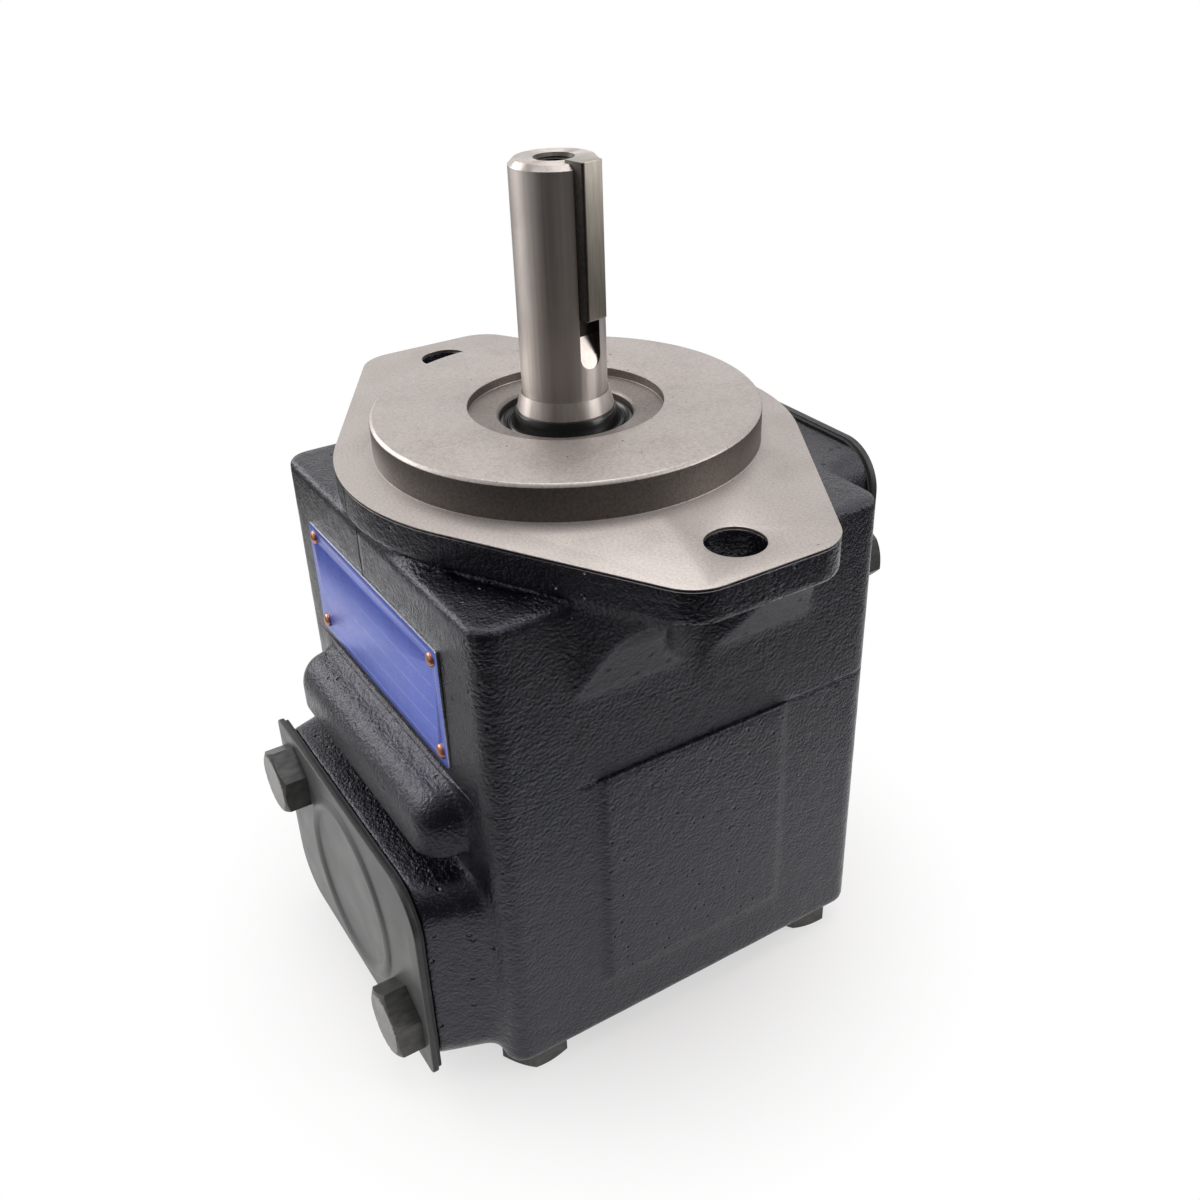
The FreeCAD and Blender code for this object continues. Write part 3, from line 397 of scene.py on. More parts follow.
# Blue anodised sheet with a plain ruled border and three empty fields
def anodisedFace():
    material, tree, place = startMaterial("anodisedBlue")
    low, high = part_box("nameplate")
    grain = useGroup(tree, fineGrain, Place=place, Stretch=plateFace["brushStretch"],
                     Scale=plateFace["brushScale"])
    parts = partsOf(tree, place)
    past = []
    for axis in (0, 2):
        half = (high[axis] - low[axis]) / 2 - plateFace["borderInset"]
        past.append(calculate(tree, "SUBTRACT", gapTo(tree, parts[axis], (low[axis] + high[axis]) / 2), half))
    outside = calculate(tree, "MAXIMUM", *past)
    halfLine = plateFace["lineWidth"] / 2
    line = calculate(tree, "LESS_THAN", calculate(tree, "ABSOLUTE", outside), halfLine)
    inFields = calculate(tree, "MULTIPLY", calculate(tree, "GREATER_THAN", parts[0], plateFace["fieldStart"]),
                         calculate(tree, "LESS_THAN", outside, -plateFace["fieldMargin"]))
    for level in plateFace["fieldLevels"]:
        rule = calculate(tree, "LESS_THAN", gapTo(tree, parts[2], level), halfLine)
        line = calculate(tree, "MAXIMUM", line, calculate(tree, "MULTIPLY", rule, inFields))
    blue = blendColours(tree, grain["Patches"], plateFace["deepBlue"], plateFace["blue"])
    closeMaterial(tree, grain["Grain"], plateFace["brushDepth"], {
        "Base Color": blendColours(tree, line, blue, plateFace["line"]),
        "Roughness": ramp(tree, grain["Grain"], *noiseRange, *plateFace["roughness"]),
        "Metallic": plateFace["metallic"]})
    return material


paint = paintedCasting()
iron, shadedIronSide, shadedIronRecess = [machinedIron(name, *tones) for name, tones in machinedFace["tones"].items()]
# A dark copy of the steel: painted shade on the key's sides, the key's seat, the tapped hole and its thread
paintedShadeSteel = grainedSurface("shadedKeySeatSteel", (0.07, 0.062, 0.056), (0.035, 0.031, 0.028), metallic=0.8,
                           roughness=(0.35, 0.5))
# A lighter copy of the bolt steel for the heads' flat tops: painted highlight
litBoltTops = grainedSurface("litBoltTops", (0.17, 0.165, 0.16), (0.3, 0.29, 0.285), metallic=0.75,
                           roughness=(0.34, 0.46), stretch=(0.3, 1.0, 0.3), scale=1300.0, depth=0.015 * mm)
# A near-black copy of the cover paint for the covers' sides: painted shade
coverSideShade = grainedSurface("coverSideShade", (0.012, 0.012, 0.013), (0.03, 0.03, 0.03), roughness=(0.4, 0.55))
blueSheet = anodisedFace()
finishes = {
    "painted_casting": paint,
    "shaft_steel": groundSteel(),
    "key_steel": grainedSurface("drawnSteel", (0.42, 0.38, 0.33), (0.27, 0.24, 0.205), metallic=0.9,
                                roughness=(0.3, 0.42), stretch=(1.0, 1.0, 0.05), scale=1600.0,
                                depth=0.01 * mm),
    "seal_rubber": grainedSurface("nitrileRubber", (0.004, 0.004, 0.004), (0.008, 0.008, 0.008),
                                  roughness=(0.18, 0.3), specular=0.4),
    "spring_steel": grainedSurface("springSteel", (0.12, 0.12, 0.13), (0.2, 0.2, 0.21), metallic=1.0,
                                   roughness=(0.3, 0.4)),
    "bearing_steel": groundMetal("bearingSteel", (0.62, 0.62, 0.63), roughness=(0.12, 0.2)),
    "cage_steel": grainedSurface("cageSteel", (0.48, 0.48, 0.48), (0.36, 0.36, 0.36), metallic=1.0,
                                 roughness=(0.3, 0.42)),
    "port_plate_iron": groundMetal("portPlateIron", (0.34, 0.33, 0.32), metallic=0.9, roughness=(0.35, 0.48),
                                   ringScale=2600.0, riseScale=2600.0, dirt=0.5),
    "bush_bronze": groundMetal("turnedBronze", (0.6, 0.4, 0.19), roughness=(0.25, 0.35)),
    "cam_steel": groundMetal("camSteel", (0.46, 0.46, 0.47), roughness=(0.22, 0.34)),
    "vane_steel": grainedSurface("vaneSteel", (0.56, 0.56, 0.57), (0.42, 0.42, 0.43), metallic=1.0,
                                 roughness=(0.25, 0.35), stretch=(1.0, 1.0, 0.1)),
    "black_steel": grainedSurface("blackOxide", (0.035, 0.035, 0.038), (0.06, 0.06, 0.06), metallic=0.6,
                                  roughness=(0.35, 0.5)),
    "bolt_steel": grainedSurface("boltPhosphate", (0.045, 0.044, 0.043), (0.1, 0.098, 0.095), metallic=0.6,
                                 roughness=(0.34, 0.5), stretch=(1.0, 0.25, 0.4), depth=0.025 * mm),
    "cover_paint": grainedSurface("coverPaint", (0.082, 0.086, 0.085), (0.105, 0.108, 0.105),
                                  roughness=(0.36, 0.46), depth=0.012 * mm, scale=1300.0),
    "gasket_rubber": grainedSurface("gasketSheet", (0.012, 0.012, 0.013), (0.03, 0.03, 0.03),
                                    roughness=(0.6, 0.75)),
    "nameplate_blue": grainedSurface("brightAluminium", (0.75, 0.76, 0.78), (0.6, 0.61, 0.64), metallic=1.0,
                                     roughness=(0.22, 0.32), stretch=(0.1, 1.0, 1.0)),
    "rivet_copper": grainedSurface("rivetCopper", (0.62, 0.3, 0.2), (0.4, 0.17, 0.1), metallic=0.9,
                                   roughness=(0.25, 0.4), depth=0.04 * mm, scale=1200.0),
}
slotOf = {entry["node"]: entry["material_slot"] for entry in frame["record"]["subparts"]}
bodyOf = {name: body for body, members in frame["record"]["behaviour"]["bodies"].items() for name in members}
print("finishes done: %d slots" % len(finishes))


# Mesh helpers

weldDistance = 0.002 * mm

# Points this near a level of the CAD belong to it
levelGap = 0.05 * mm

# How much of a face's normal has to lie along a direction, or may at most
leaning = {"upright": 0.3, "boltTop": 0.93, "keySide": 0.7, "plateFront": 0.99, "tapEnd": 0.8, "runOut": 0.5}


def newPiece(name, mesh):
    piece = bpy.data.objects.new(name, mesh)
    scene.collection.objects.link(piece)
    return piece


@contextmanager
def editing(mesh):
    form = bmesh.new()
    form.from_mesh(mesh)
    yield form
    form.to_mesh(mesh)
    form.free()


# A copy of a CAD node as one closed skin, without its imported normals
def mergedCopy(node, name):
    source = nodes[node].data
    mesh = bpy.data.meshes.new(name)
    mesh.from_pydata([v.co[:] for v in source.vertices], [], [tuple(p.vertices) for p in source.polygons])
    with editing(mesh) as form:
        bmesh.ops.remove_doubles(form, verts=form.verts, dist=weldDistance)
        bmesh.ops.dissolve_degenerate(form, edges=form.edges, dist=weldDistance)
    return newPiece(name, mesh)


def dissolveFlat(piece):
    with editing(piece.data) as form:
        bmesh.ops.dissolve_limit(form, angle_limit=math.radians(0.4), verts=form.verts, edges=form.edges)


# Adds a row of edges all round at one level
def sliceAt(form, level):
    bmesh.ops.bisect_plane(form, geom=form.verts[:] + form.edges[:] + form.faces[:], dist=0.001 * mm,
                           plane_co=(0, 0, level), plane_no=(0, 0, 1))


def modify(piece, kind, **settings):
    modifier = piece.modifiers.new(kind.lower(), kind)
    for name, value in settings.items():
        setattr(modifier, name, value)


def applyModifiers(piece):
    graph = bpy.context.evaluated_depsgraph_get()
    mesh = bpy.data.meshes.new_from_object(piece.evaluated_get(graph))
    piece.modifiers.clear()
    old = piece.data
    piece.data = mesh
    mesh.name = piece.name
    bpy.data.meshes.remove(old)


def roundEdges(piece, width, segments=2):
    modify(piece, "BEVEL", width=width, segments=segments, limit_method="ANGLE",
           angle_limit=math.radians(32.0), use_clamp_overlap=True)
    applyModifiers(piece)


def shade(piece, degrees=24.0):
    piece.data.shade_smooth()
    piece.data.set_sharp_from_angle(angle=math.radians(degrees))


# Keeps (INTERSECT) or removes (DIFFERENCE) what lies inside a box
def cutByBox(piece, low, high, operation):
    size = Vector(high) - Vector(low)
    middle = (Vector(high) + Vector(low)) / 2
    mesh = bpy.data.meshes.new("cutter")
    with editing(mesh) as form:
        bmesh.ops.create_cube(form, size=1.0)
        for vert in form.verts:
            vert.co = Vector(v * s for v, s in zip(vert.co, size)) + middle
    cutter = newPiece("cutter", mesh)
    modify(piece, "BOOLEAN", object=cutter, operation=operation, solver="MANIFOLD")
    applyModifiers(piece)
    piece.data.materials.clear()
    bpy.data.objects.remove(cutter)


def pointsOf(mesh):
    place = np.zeros(len(mesh.vertices) * 3)
    normal = np.zeros(len(mesh.vertices) * 3)
    mesh.vertices.foreach_get("co", place)
    mesh.vertex_normals.foreach_get("vector", normal)
    return place.reshape(-1, 3), normal.reshape(-1, 3)


def edgeEnds(mesh):
    ends = np.zeros(len(mesh.edges) * 2, int)
    mesh.edges.foreach_get("vertices", ends)
    return ends[0::2], ends[1::2]


# For every point, the sum of a value over its neighbours
def overNeighbours(first, second, value):
    count = len(value)
    return np.bincount(first, value[second], count) + np.bincount(second, value[first], count)


# Stores how far each point stands out from its neighbours as the attribute edge
def markEdges(piece, reach, rounds=2):
    mesh = piece.data
    count = len(mesh.vertices)
    place, normal = pointsOf(mesh)
    first, second = edgeEnds(mesh)
    share = np.maximum(overNeighbours(first, second, np.ones(count)), 1)
    value = np.zeros(count)
    for a, b in ((first, second), (second, first)):
        step = place[a] - place[b]
        length = np.linalg.norm(step, axis=1) + 1e-9
        value += np.bincount(a, (step * normal[a]).sum(1) / length, count)
    value /= share
    for _ in range(rounds):
        value = 0.5 * value + 0.5 * overNeighbours(first, second, value) / share
    attribute = mesh.attributes.new("edge", "FLOAT", "POINT")
    attribute.data.foreach_set("value", np.clip(value / reach, 0, 1).astype(np.float32))


# Gives a piece several finishes: choose says which one each face takes
def paintFaces(piece, materials, choose):
    piece.data.materials.clear()
    for material in materials:
        piece.data.materials.append(material)
    for polygon in piece.data.polygons:
        polygon.material_index = int(choose(polygon))


def finishPiece(piece, material, slotName, body, *stoodFor):
    if not piece.data.materials:
        piece.data.materials.append(material)
    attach(piece, body)
    if stoodFor:
        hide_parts(*stoodFor)


# Castings: sand-cast skins with soft edges, made from the CAD solids

casting = {
    "voxel": 0.8 * mm,
    "smoothing": 7,
    "filletRounds": 80,
    "normalsEvery": 10,
    "filletStep": 0.6,
    "jointOverlap": 4.0 * mm,
    "jointDepth": 0.3 * mm,
    "jointGap": 0.01 * mm,
    "openFrom": -34.0 * mm,
    "triangles": 186000,
    "waveScale": 120.0,
    "waveDepth": 0.1 * mm,
    "crispBand": 1.0 * mm,
    "crispEdge": 0.22 * mm,
    "edgeReach": 0.3,
    "outerWalls": 50.0 * mm,
}


# Fills inside corners by moving points outwards towards their neighbours' middle
def fillCorners(piece, chosen):
    mesh = piece.data
    place, normal = pointsOf(mesh)
    first, second = edgeEnds(mesh)
    share = overNeighbours(first, second, np.ones(len(place)))
    weight = chosen(place)
    for turn in range(casting["filletRounds"]):
        middle = np.stack([overNeighbours(first, second, place[:, i]) / share for i in range(3)], axis=1)
        rise = np.maximum(((middle - place) * normal).sum(1), 0)
        place += normal * (casting["filletStep"] * rise * weight)[:, None]
        if (turn + 1) % casting["normalsEvery"] == 0:
            mesh.vertices.foreach_set("co", place.ravel())
            mesh.update()
            normal = pointsOf(mesh)[1]


# The joint face is drawn out past the joint first, so that the cut leaves its edge sharp
def castSkinPiece(node, name, jointStep, filled):
    piece = mergedCopy(node, name)
    for vert in piece.data.vertices:
        if abs(vert.co.z - jointZ) < casting["jointGap"]:
            vert.co.z += jointStep
    modify(piece, "REMESH", mode="VOXEL", voxel_size=casting["voxel"], use_smooth_shade=True)
    modify(piece, "SMOOTH", factor=0.5, iterations=casting["smoothing"])
    applyModifiers(piece)
    fillCorners(piece, filled)
    place, normal = pointsOf(piece.data)
    wave = np.array([noise.noise(Vector(p) * casting["waveScale"]) for p in place])
    place -= normal * (casting["waveDepth"] * (0.5 + 0.5 * wave))[:, None]
    piece.data.vertices.foreach_set("co", place.ravel())
    return piece


def thinOut(piece):
    piece.data.calc_loop_triangles()
    count = len(piece.data.loop_triangles)
    if count > casting["triangles"]:
        modify(piece, "DECIMATE", ratio=casting["triangles"] / count)
        applyModifiers(piece)
    print("%s: %d triangles, thinned from %d" % (piece.name, min(count, casting["triangles"]), count))


# A fine groove where the castings meet: the last strip of the skin slopes inwards. Paint has
# closed it on the plate's side.
def grooveJoint(piece, side):
    with editing(piece.data) as form:
        sliceAt(form, jointZ + side * casting["jointDepth"])
        form.normal_update()
        for vert in form.verts:
            outward = vert.normal.xy
            atJoint = abs(vert.co.z - jointZ) < casting["jointGap"] and vert.co.y > casting["openFrom"]
            onWall = max(abs(v) for v in vert.co.xy) > casting["outerWalls"]
            if atJoint and onWall and outward.length > 0.2:
                step = outward.normalized() * casting["jointDepth"]
                vert.co.x -= step.x
                vert.co.y -= step.y


def finishSkin(skin, side, node):
    thinOut(skin)
    grooveJoint(skin, side)
    markEdges(skin, casting["edgeReach"])
    skin.data.shade_smooth()
    finishPiece(skin, paint, "painted_casting", "housing", node)


# How strongly inside corners are filled: little under the ears, most at the port pads
filletShares = {
    "walls": 0.5,
    "ears": 0.12,
    "earsFrom": 57.0 * mm,
    "capPadFrom": 59.5 * mm,
    "housingPadFrom": 56.0 * mm,
}


def capFillets(place):
    aside = np.abs(place)
    share = np.where(aside[:, 0] > filletShares["earsFrom"], filletShares["ears"], filletShares["walls"])
    share = np.where(aside[:, 1] > filletShares["capPadFrom"], 1.0, share)
    return share * (aside[:, :2].max(1) > casting["outerWalls"])


def housingFillets(place):
    return (np.abs(place[:, 1]) > filletShares["housingPadFrom"]).astype(float)


capLow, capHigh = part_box("mounting_cap")
housingLow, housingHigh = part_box("rear_housing")
jointZ = capLow.z
margin = Vector((5 * mm,) * 3)
faceBand = ((capLow.x - margin.x, capLow.y - margin.y, -casting["crispBand"]), capHigh + margin)

capSkin = castSkinPiece("mounting_cap", "capCasting", -casting["jointOverlap"], capFillets)
cutByBox(capSkin, *faceBand, "DIFFERENCE")
cutByBox(capSkin, capLow - 2 * margin, (capHigh.x + margin.x, capHigh.y + margin.y, jointZ), "DIFFERENCE")
finishSkin(capSkin, 1, "mounting_cap")

# Where the machined faces end: radii from the shaft's axis, and the flange bolts' holes
capZones = {
    "topEdge": -0.05 * mm,
    "outline": 58.0 * mm,
    "pilot": 52.0 * mm,
    "recess": 25.5 * mm,
    "recessDepth": 1.0 * mm,
    "holesAt": 73.0 * mm,
    "holeReach": 8.0 * mm,
}


# Face by face: 0 the bright iron, 1 paint, 2 the upright sides and the holes' walls in a darker copy as
# painted shade, 3 the recess's floor in painted shade
def capZone(polygon):
    middle = polygon.center
    radius = middle.xy.length
    upright = abs(polygon.normal.z) < leaning["upright"]
    inHole = max(abs(abs(middle.x) - capZones["holesAt"]), abs(middle.y)) < capZones["holeReach"]
    if upright and inHole:
        return 2
    if upright and middle.z < capZones["topEdge"] and radius > capZones["outline"]:
        return 1
    if upright:
        return 2 if radius < capZones["pilot"] else 0
    return 3 if radius < capZones["recess"] and middle.z < capHigh.z - capZones["recessDepth"] else 0


capFace = mergedCopy("mounting_cap", "capMachinedFace")
cutByBox(capFace, *faceBand, "INTERSECT")
dissolveFlat(capFace)
roundEdges(capFace, casting["crispEdge"])
markEdges(capFace, casting["edgeReach"], 0)
paintFaces(capFace, (iron, paint, shadedIronSide, shadedIronRecess), capZone)
shade(capFace)
finishPiece(capFace, iron, "painted_casting", "housing", "mounting_cap")

housingSkin = castSkinPiece("rear_housing", "housingCasting", casting["jointOverlap"], housingFillets)
cutByBox(housingSkin, (housingLow.x - margin.x, housingLow.y - margin.y, jointZ), housingHigh + 2 * margin,
         "DIFFERENCE")
finishSkin(housingSkin, -1, "rear_housing")
print("castings done")


# Bolts and rivets: Geometry Nodes heads and shanks on measured places

def inputOf(tree, label):
    return next(item.identifier for item in tree.interface.items_tree
                if item.item_type == "SOCKET" and item.in_out == "INPUT" and item.name == label)


# Joins a head to its shank and sets them on every point, along the point's own turn
def setOnPoints(tree, given, result, head, sides, radius, **placing):
    stem = put(tree, "GeometryNodeMeshCylinder", {"Vertices": sides, "Radius": radius,
                                                  "Depth": given["Length"]}, fill_type="NGON")
    drop = combine(tree, z=calculate(tree, "MULTIPLY", given["Length"], -0.5))
    lowered = put(tree, "GeometryNodeTransform", {"Geometry": stem.outputs["Mesh"], "Translation": drop})
    whole = put(tree, "GeometryNodeJoinGeometry")
    for part in (head, lowered):
        tree.links.new(part.outputs[0], whole.inputs[0])
    turn = put(tree, "GeometryNodeInputNamedAttribute", {"Name": "turn"}, data_type="FLOAT_VECTOR")
    turned = put(tree, "FunctionNodeEulerToRotation", {0: turn.outputs[0]})
    placed = put(tree, "GeometryNodeInstanceOnPoints", {
        "Points": given["Points"], "Instance": whole.outputs[0], "Rotation": turned.outputs[0], **placing})
    real = put(tree, "GeometryNodeRealizeInstances", {0: placed.outputs[0]})
    dressed = put(tree, "GeometryNodeSetMaterial", {"Geometry": real.outputs[0], "Material": given["Finish"]})
    setInputs(tree, result, {0: dressed.outputs[0]})


# A hexagon head with a crown: its corners fall away outside the crown's circle
def hexBoltTree():
    tree, given, result = newGroup(
        "hexBolts",
        {"Points": ("Geometry", None), "Across": ("Float", 18 * mm), "Head": ("Float", 7.5 * mm),
         "Crown": ("Float", 0.46), "Shank": ("Float", 12 * mm), "Length": ("Float", 20 * mm),
         "Finish": ("Material", None)},
        {"Bolts": "Geometry"}, "GeometryNodeTree")
    slope = math.radians(30)
    corner = calculate(tree, "DIVIDE", given["Across"], 2 * math.cos(slope))
    prism = put(tree, "GeometryNodeMeshCylinder", {"Vertices": 6, "Radius": corner, "Depth": given["Head"]},
                fill_type="TRIANGLE_FAN")
    lift = combine(tree, z=calculate(tree, "MULTIPLY", given["Head"], 0.5))
    raised = put(tree, "GeometryNodeTransform", {"Geometry": prism.outputs["Mesh"], "Translation": lift})
    fine = put(tree, "GeometryNodeSubdivideMesh", {"Mesh": raised.outputs[0], "Level": 4})
    parts = partsOf(tree, put(tree, "GeometryNodeInputPosition").outputs[0])
    crownRadius = calculate(tree, "MULTIPLY", given["Across"], given["Crown"])
    beyond = calculate(tree, "MAXIMUM", calculate(tree, "SUBTRACT", offAxis(tree, parts), crownRadius), 0.0)
    limit = calculate(tree, "MULTIPLY_ADD", beyond, -math.tan(slope), given["Head"])
    place = combine(tree, parts[0], parts[1], calculate(tree, "MINIMUM", parts[2], limit))
    crowned = put(tree, "GeometryNodeSetPosition", {"Geometry": fine.outputs[0], "Position": place})
    merged = put(tree, "GeometryNodeMergeByDistance", {"Geometry": crowned.outputs[0], "Distance": 0.01 * mm})
    setOnPoints(tree, given, result, merged, 48, calculate(tree, "MULTIPLY", given["Shank"], 0.5))
    return tree


# A set rivet: a low dented dome, each one up to a few percent smaller than the given size
def rivetTree():
    tree, given, result = newGroup(
        "domedRivets",
        {"Points": ("Geometry", None), "Radius": ("Float", 2 * mm), "Height": ("Float", 1.1 * mm),
         "Shank": ("Float", 1.3 * mm), "Length": ("Float", 6 * mm), "Dent": ("Float", 0.35),
         "DentScale": ("Float", 1.7), "Uneven": ("Float", 0.06), "Seed": ("Int", 4),
         "Finish": ("Material", None)},
        {"Rivets": "Geometry"}, "GeometryNodeTree")
    ball = put(tree, "GeometryNodeMeshUVSphere", {"Segments": 40, "Rings": 24, "Radius": 1.0})
    parts = partsOf(tree, put(tree, "GeometryNodeInputPosition").outputs[0])
    dents = calculate(tree, "SUBTRACT", noiseAt(tree, None, given["DentScale"], 1.0), 0.5)
    dented = calculate(tree, "MINIMUM", calculate(tree, "MULTIPLY_ADD", dents, given["Dent"], 1.0), 1.0)
    rise = calculate(tree, "MULTIPLY", calculate(tree, "MAXIMUM", parts[2], 0.0), given["Height"])
    aside = [calculate(tree, "MULTIPLY", part, given["Radius"]) for part in (parts[0], parts[1])]
    place = combine(tree, *aside, calculate(tree, "MULTIPLY", rise, dented))
    dome = put(tree, "GeometryNodeSetPosition", {"Geometry": ball.outputs["Mesh"], "Position": place})
    smaller = calculate(tree, "SUBTRACT", 1.0, given["Uneven"])
    size = put(tree, "FunctionNodeRandomValue", {2: smaller, 3: 1.0, "Seed": given["Seed"]},
               data_type="FLOAT")
    setOnPoints(tree, given, result, dome, 32, given["Shank"], Scale=size.outputs[1])
    return tree


# Runs a tree on points with turns, and keeps the result as a plain mesh
def growOnPoints(name, tree, places, turns, values):
    mesh = bpy.data.meshes.new(name + "Points")
    mesh.from_pydata([tuple(p) for p in places], [], [])
    attribute = mesh.attributes.new("turn", "FLOAT_VECTOR", "POINT")
    for item, turn in zip(attribute.data, turns):
        item.vector = turn
    piece = newPiece(name, mesh)
    modifier = piece.modifiers.new("grow", "NODES")
    modifier.node_group = tree
    for label, value in values.items():
        modifier[inputOf(tree, label)] = value
    applyModifiers(piece)
    if "turn" in piece.data.attributes:
        piece.data.attributes.remove(piece.data.attributes["turn"])
    return piece


# Heads that face one way, each spun by its own angle in degrees
def turnsFor(facing, spins):
    base = Euler([math.radians(v) for v in facing]).to_matrix()
    return [(base @ Matrix.Rotation(math.radians(spin), 3, "Z")).to_euler() for spin in spins]


boltSets = {
    "suctionCoverBolts": {"nodes": "suction_cover_bolt_%d", "axis": 1, "side": -1, "facing": (90, 0, 0),
                          "across": 18 * mm, "head": 7.5 * mm, "shank": 12 * mm, "spins": (28, 29)},
    "pressureCoverBolts": {"nodes": "pressure_cover_bolt_%d", "axis": 1, "side": 1, "facing": (90, 0, 180),
                           "across": 16 * mm, "head": 6.4 * mm, "shank": 10 * mm, "spins": (50, 15)},
    "housingBolts": {"nodes": "housing_bolt_%d", "axis": 2, "side": -1, "facing": (180, 0, 0),
                     "across": 18 * mm, "head": 7.5 * mm, "shank": 12 * mm, "spins": (-20, -42, -5, -35)},
}
hexBolts = hexBoltTree()
boltSteel = finishes["bolt_steel"]

for name, values in boltSets.items():
    members = [values["nodes"] % (i + 1) for i in range(len(values["spins"]))]
    axis, head = values["axis"], values["head"]
    places = []
    for member in members:
        low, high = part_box(member)
        place = (low + high) / 2
        place[axis] = low[axis] + head if values["side"] < 0 else high[axis] - head
        places.append(place)
    bolts = growOnPoints(name, hexBolts, places, turnsFor(values["facing"], values["spins"]), {
        "Across": values["across"], "Head": head, "Shank": values["shank"],
        "Length": high[axis] - low[axis] - head, "Finish": boltSteel})
    # The heads' flat tops take a lighter copy of the steel as a painted highlight, the flanks stay dark
    paintFaces(bolts, (boltSteel, litBoltTops), lambda polygon: abs(polygon.normal[axis]) > leaning["boltTop"])
    shade(bolts, 28.0)
    finishPiece(bolts, boltSteel, "bolt_steel", "housing", *members)

rivets = {"radius": 2.0 * mm, "height": 1.1 * mm, "spins": (0, 70, 140, 210)}
low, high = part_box("nameplate_rivets")
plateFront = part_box("nameplate")[0].y
rivetPlaces = [(x, plateFront, z) for x in (low.x + rivets["radius"], high.x - rivets["radius"])
               for z in (low.z + rivets["radius"], high.z - rivets["radius"])]
domes = growOnPoints("nameplateRivets", rivetTree(), rivetPlaces, turnsFor((90, 0, 0), rivets["spins"]), {
    "Radius": rivets["radius"], "Height": rivets["height"], "Length": high.y - plateFront,
    "Seed": 4, "Finish": finishes["rivet_copper"]})
shade(domes, 50.0)
finishPiece(domes, finishes["rivet_copper"], "rivet_copper", "housing", "nameplate_rivets")
print("bolts and rivets done")


# Plate work and shaft pieces: CAD forms with rounded edges

crispPieces = {
    "suction_cover": {"name": "suctionCover", "edge": 0.5 * mm, "segments": 3},
    "pressure_cover": {"name": "pressureCover", "edge": 0.5 * mm, "segments": 3},
    "suction_cover_gasket": {"name": "suctionGasket", "edge": 0.12 * mm, "segments": 1},
    "pressure_cover_gasket": {"name": "pressureGasket", "edge": 0.12 * mm, "segments": 1},
    "drive_shaft": {"name": "driveShaft", "edge": 0.2 * mm, "segments": 2, "smooth": 9.0},
    "shaft_key": {"name": "shaftKey", "edge": 0.16 * mm, "segments": 2},
    "nameplate": {"name": "namePlate", "edge": 0.12 * mm, "segments": 2},
}
keyLow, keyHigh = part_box("shaft_key")
keyMiddle = ((keyLow + keyHigh) / 2).xy.normalized()
keySide = Vector((-keyMiddle.y, keyMiddle.x, 0))

# The key's seat: where its walls in painted shade lie, and the cutter's run-out, whose floor rises to the
# surface below the key
keySeat = {
    "halfWidth": 3.4 * mm,
    "inside": 7.0 * mm,
    "outside": 10.9 * mm,
    "bottom": 20.0 * mm,
    "topMargin": 2.5 * mm,
    "floor": 7.6 * mm,
    "slopeStart": 28.5 * mm,
    "slopeEnd": 20.8 * mm,
    "rise": 3.4 * mm,
    "tapRadius": 5.2 * mm,
}


# The walls of the key's seat and the tapped hole take a dark copy of the steel as painted shade, unlike the
# ground faces
def isShadedInShaft(polygon):
    middle, normal = polygon.center, polygon.normal
    radius = middle.xy.length
    inTap = radius < keySeat["tapRadius"] and middle.z > 0 and normal.z < leaning["tapEnd"]
    onRunOut = middle.z < keyLow.z and normal.xy.dot(keyMiddle) > leaning["runOut"]
    inSeat = abs(middle.dot(keySide)) < keySeat["halfWidth"] and middle.xy.dot(keyMiddle) > keySeat["inside"]
    inSeat = inSeat and radius < keySeat["outside"]
    inSeat = inSeat and keySeat["bottom"] < middle.z < keyHigh.z - keySeat["topMargin"]
    return inTap or inSeat and not onRunOut


def isCoverSide(polygon):
    return abs(polygon.normal.y) < leaning["upright"]


# Second finishes by face: the covers' sides, the shaft's seat and tap and the key's sides take darker copies
# as painted shade; the nameplate's front takes the blue sheet
secondFinish = {
    "suction_cover": (coverSideShade, isCoverSide),
    "pressure_cover": (coverSideShade, isCoverSide),
    "drive_shaft": (paintedShadeSteel, isShadedInShaft),
    "shaft_key": (paintedShadeSteel, lambda polygon: abs(polygon.normal.dot(keySide)) > leaning["keySide"]),
    "nameplate": (blueSheet, lambda polygon: polygon.normal.y < -leaning["plateFront"]),
}

# The shaft swells to the seal's land in one crisp cone with a slight neck above it. Each row of
# the CAD's cone moves to a new level and radius.
shaftCone = {
    "neckStart": 17.5 * mm,
    "land": 8.4 * mm,
    "rows": ((15.0 * mm, 12.5 * mm, 10.92 * mm), (9.5 * mm, 8.7 * mm, 12.66 * mm)),
}


def reshapeShaft(piece):
    with editing(piece.data) as form:
        for level in (shaftCone["neckStart"], shaftCone["land"]):
            sliceAt(form, level)
        for vert in form.verts:
            for cadLevel, level, radius in shaftCone["rows"]:
                if abs(vert.co.z - cadLevel) < levelGap and vert.co.xy.length > 10 * mm:
                    outward = vert.co.xy.normalized() * radius
                    vert.co = (outward.x, outward.y, level)
        sliceAt(form, keySeat["slopeStart"])
        for vert in form.verts:
            onFloor = (abs(vert.co.xy.dot(keyMiddle) - keySeat["floor"]) < levelGap
                       and abs(vert.co.dot(keySide)) < keySeat["halfWidth"])
            below = keySeat["slopeStart"] - vert.co.z
            if onFloor and below > levelGap and vert.co.z > keySeat["bottom"]:
                share = below / (keySeat["slopeStart"] - keySeat["slopeEnd"])
                vert.co += Vector((*keyMiddle, 0)) * (keySeat["rise"] * share)


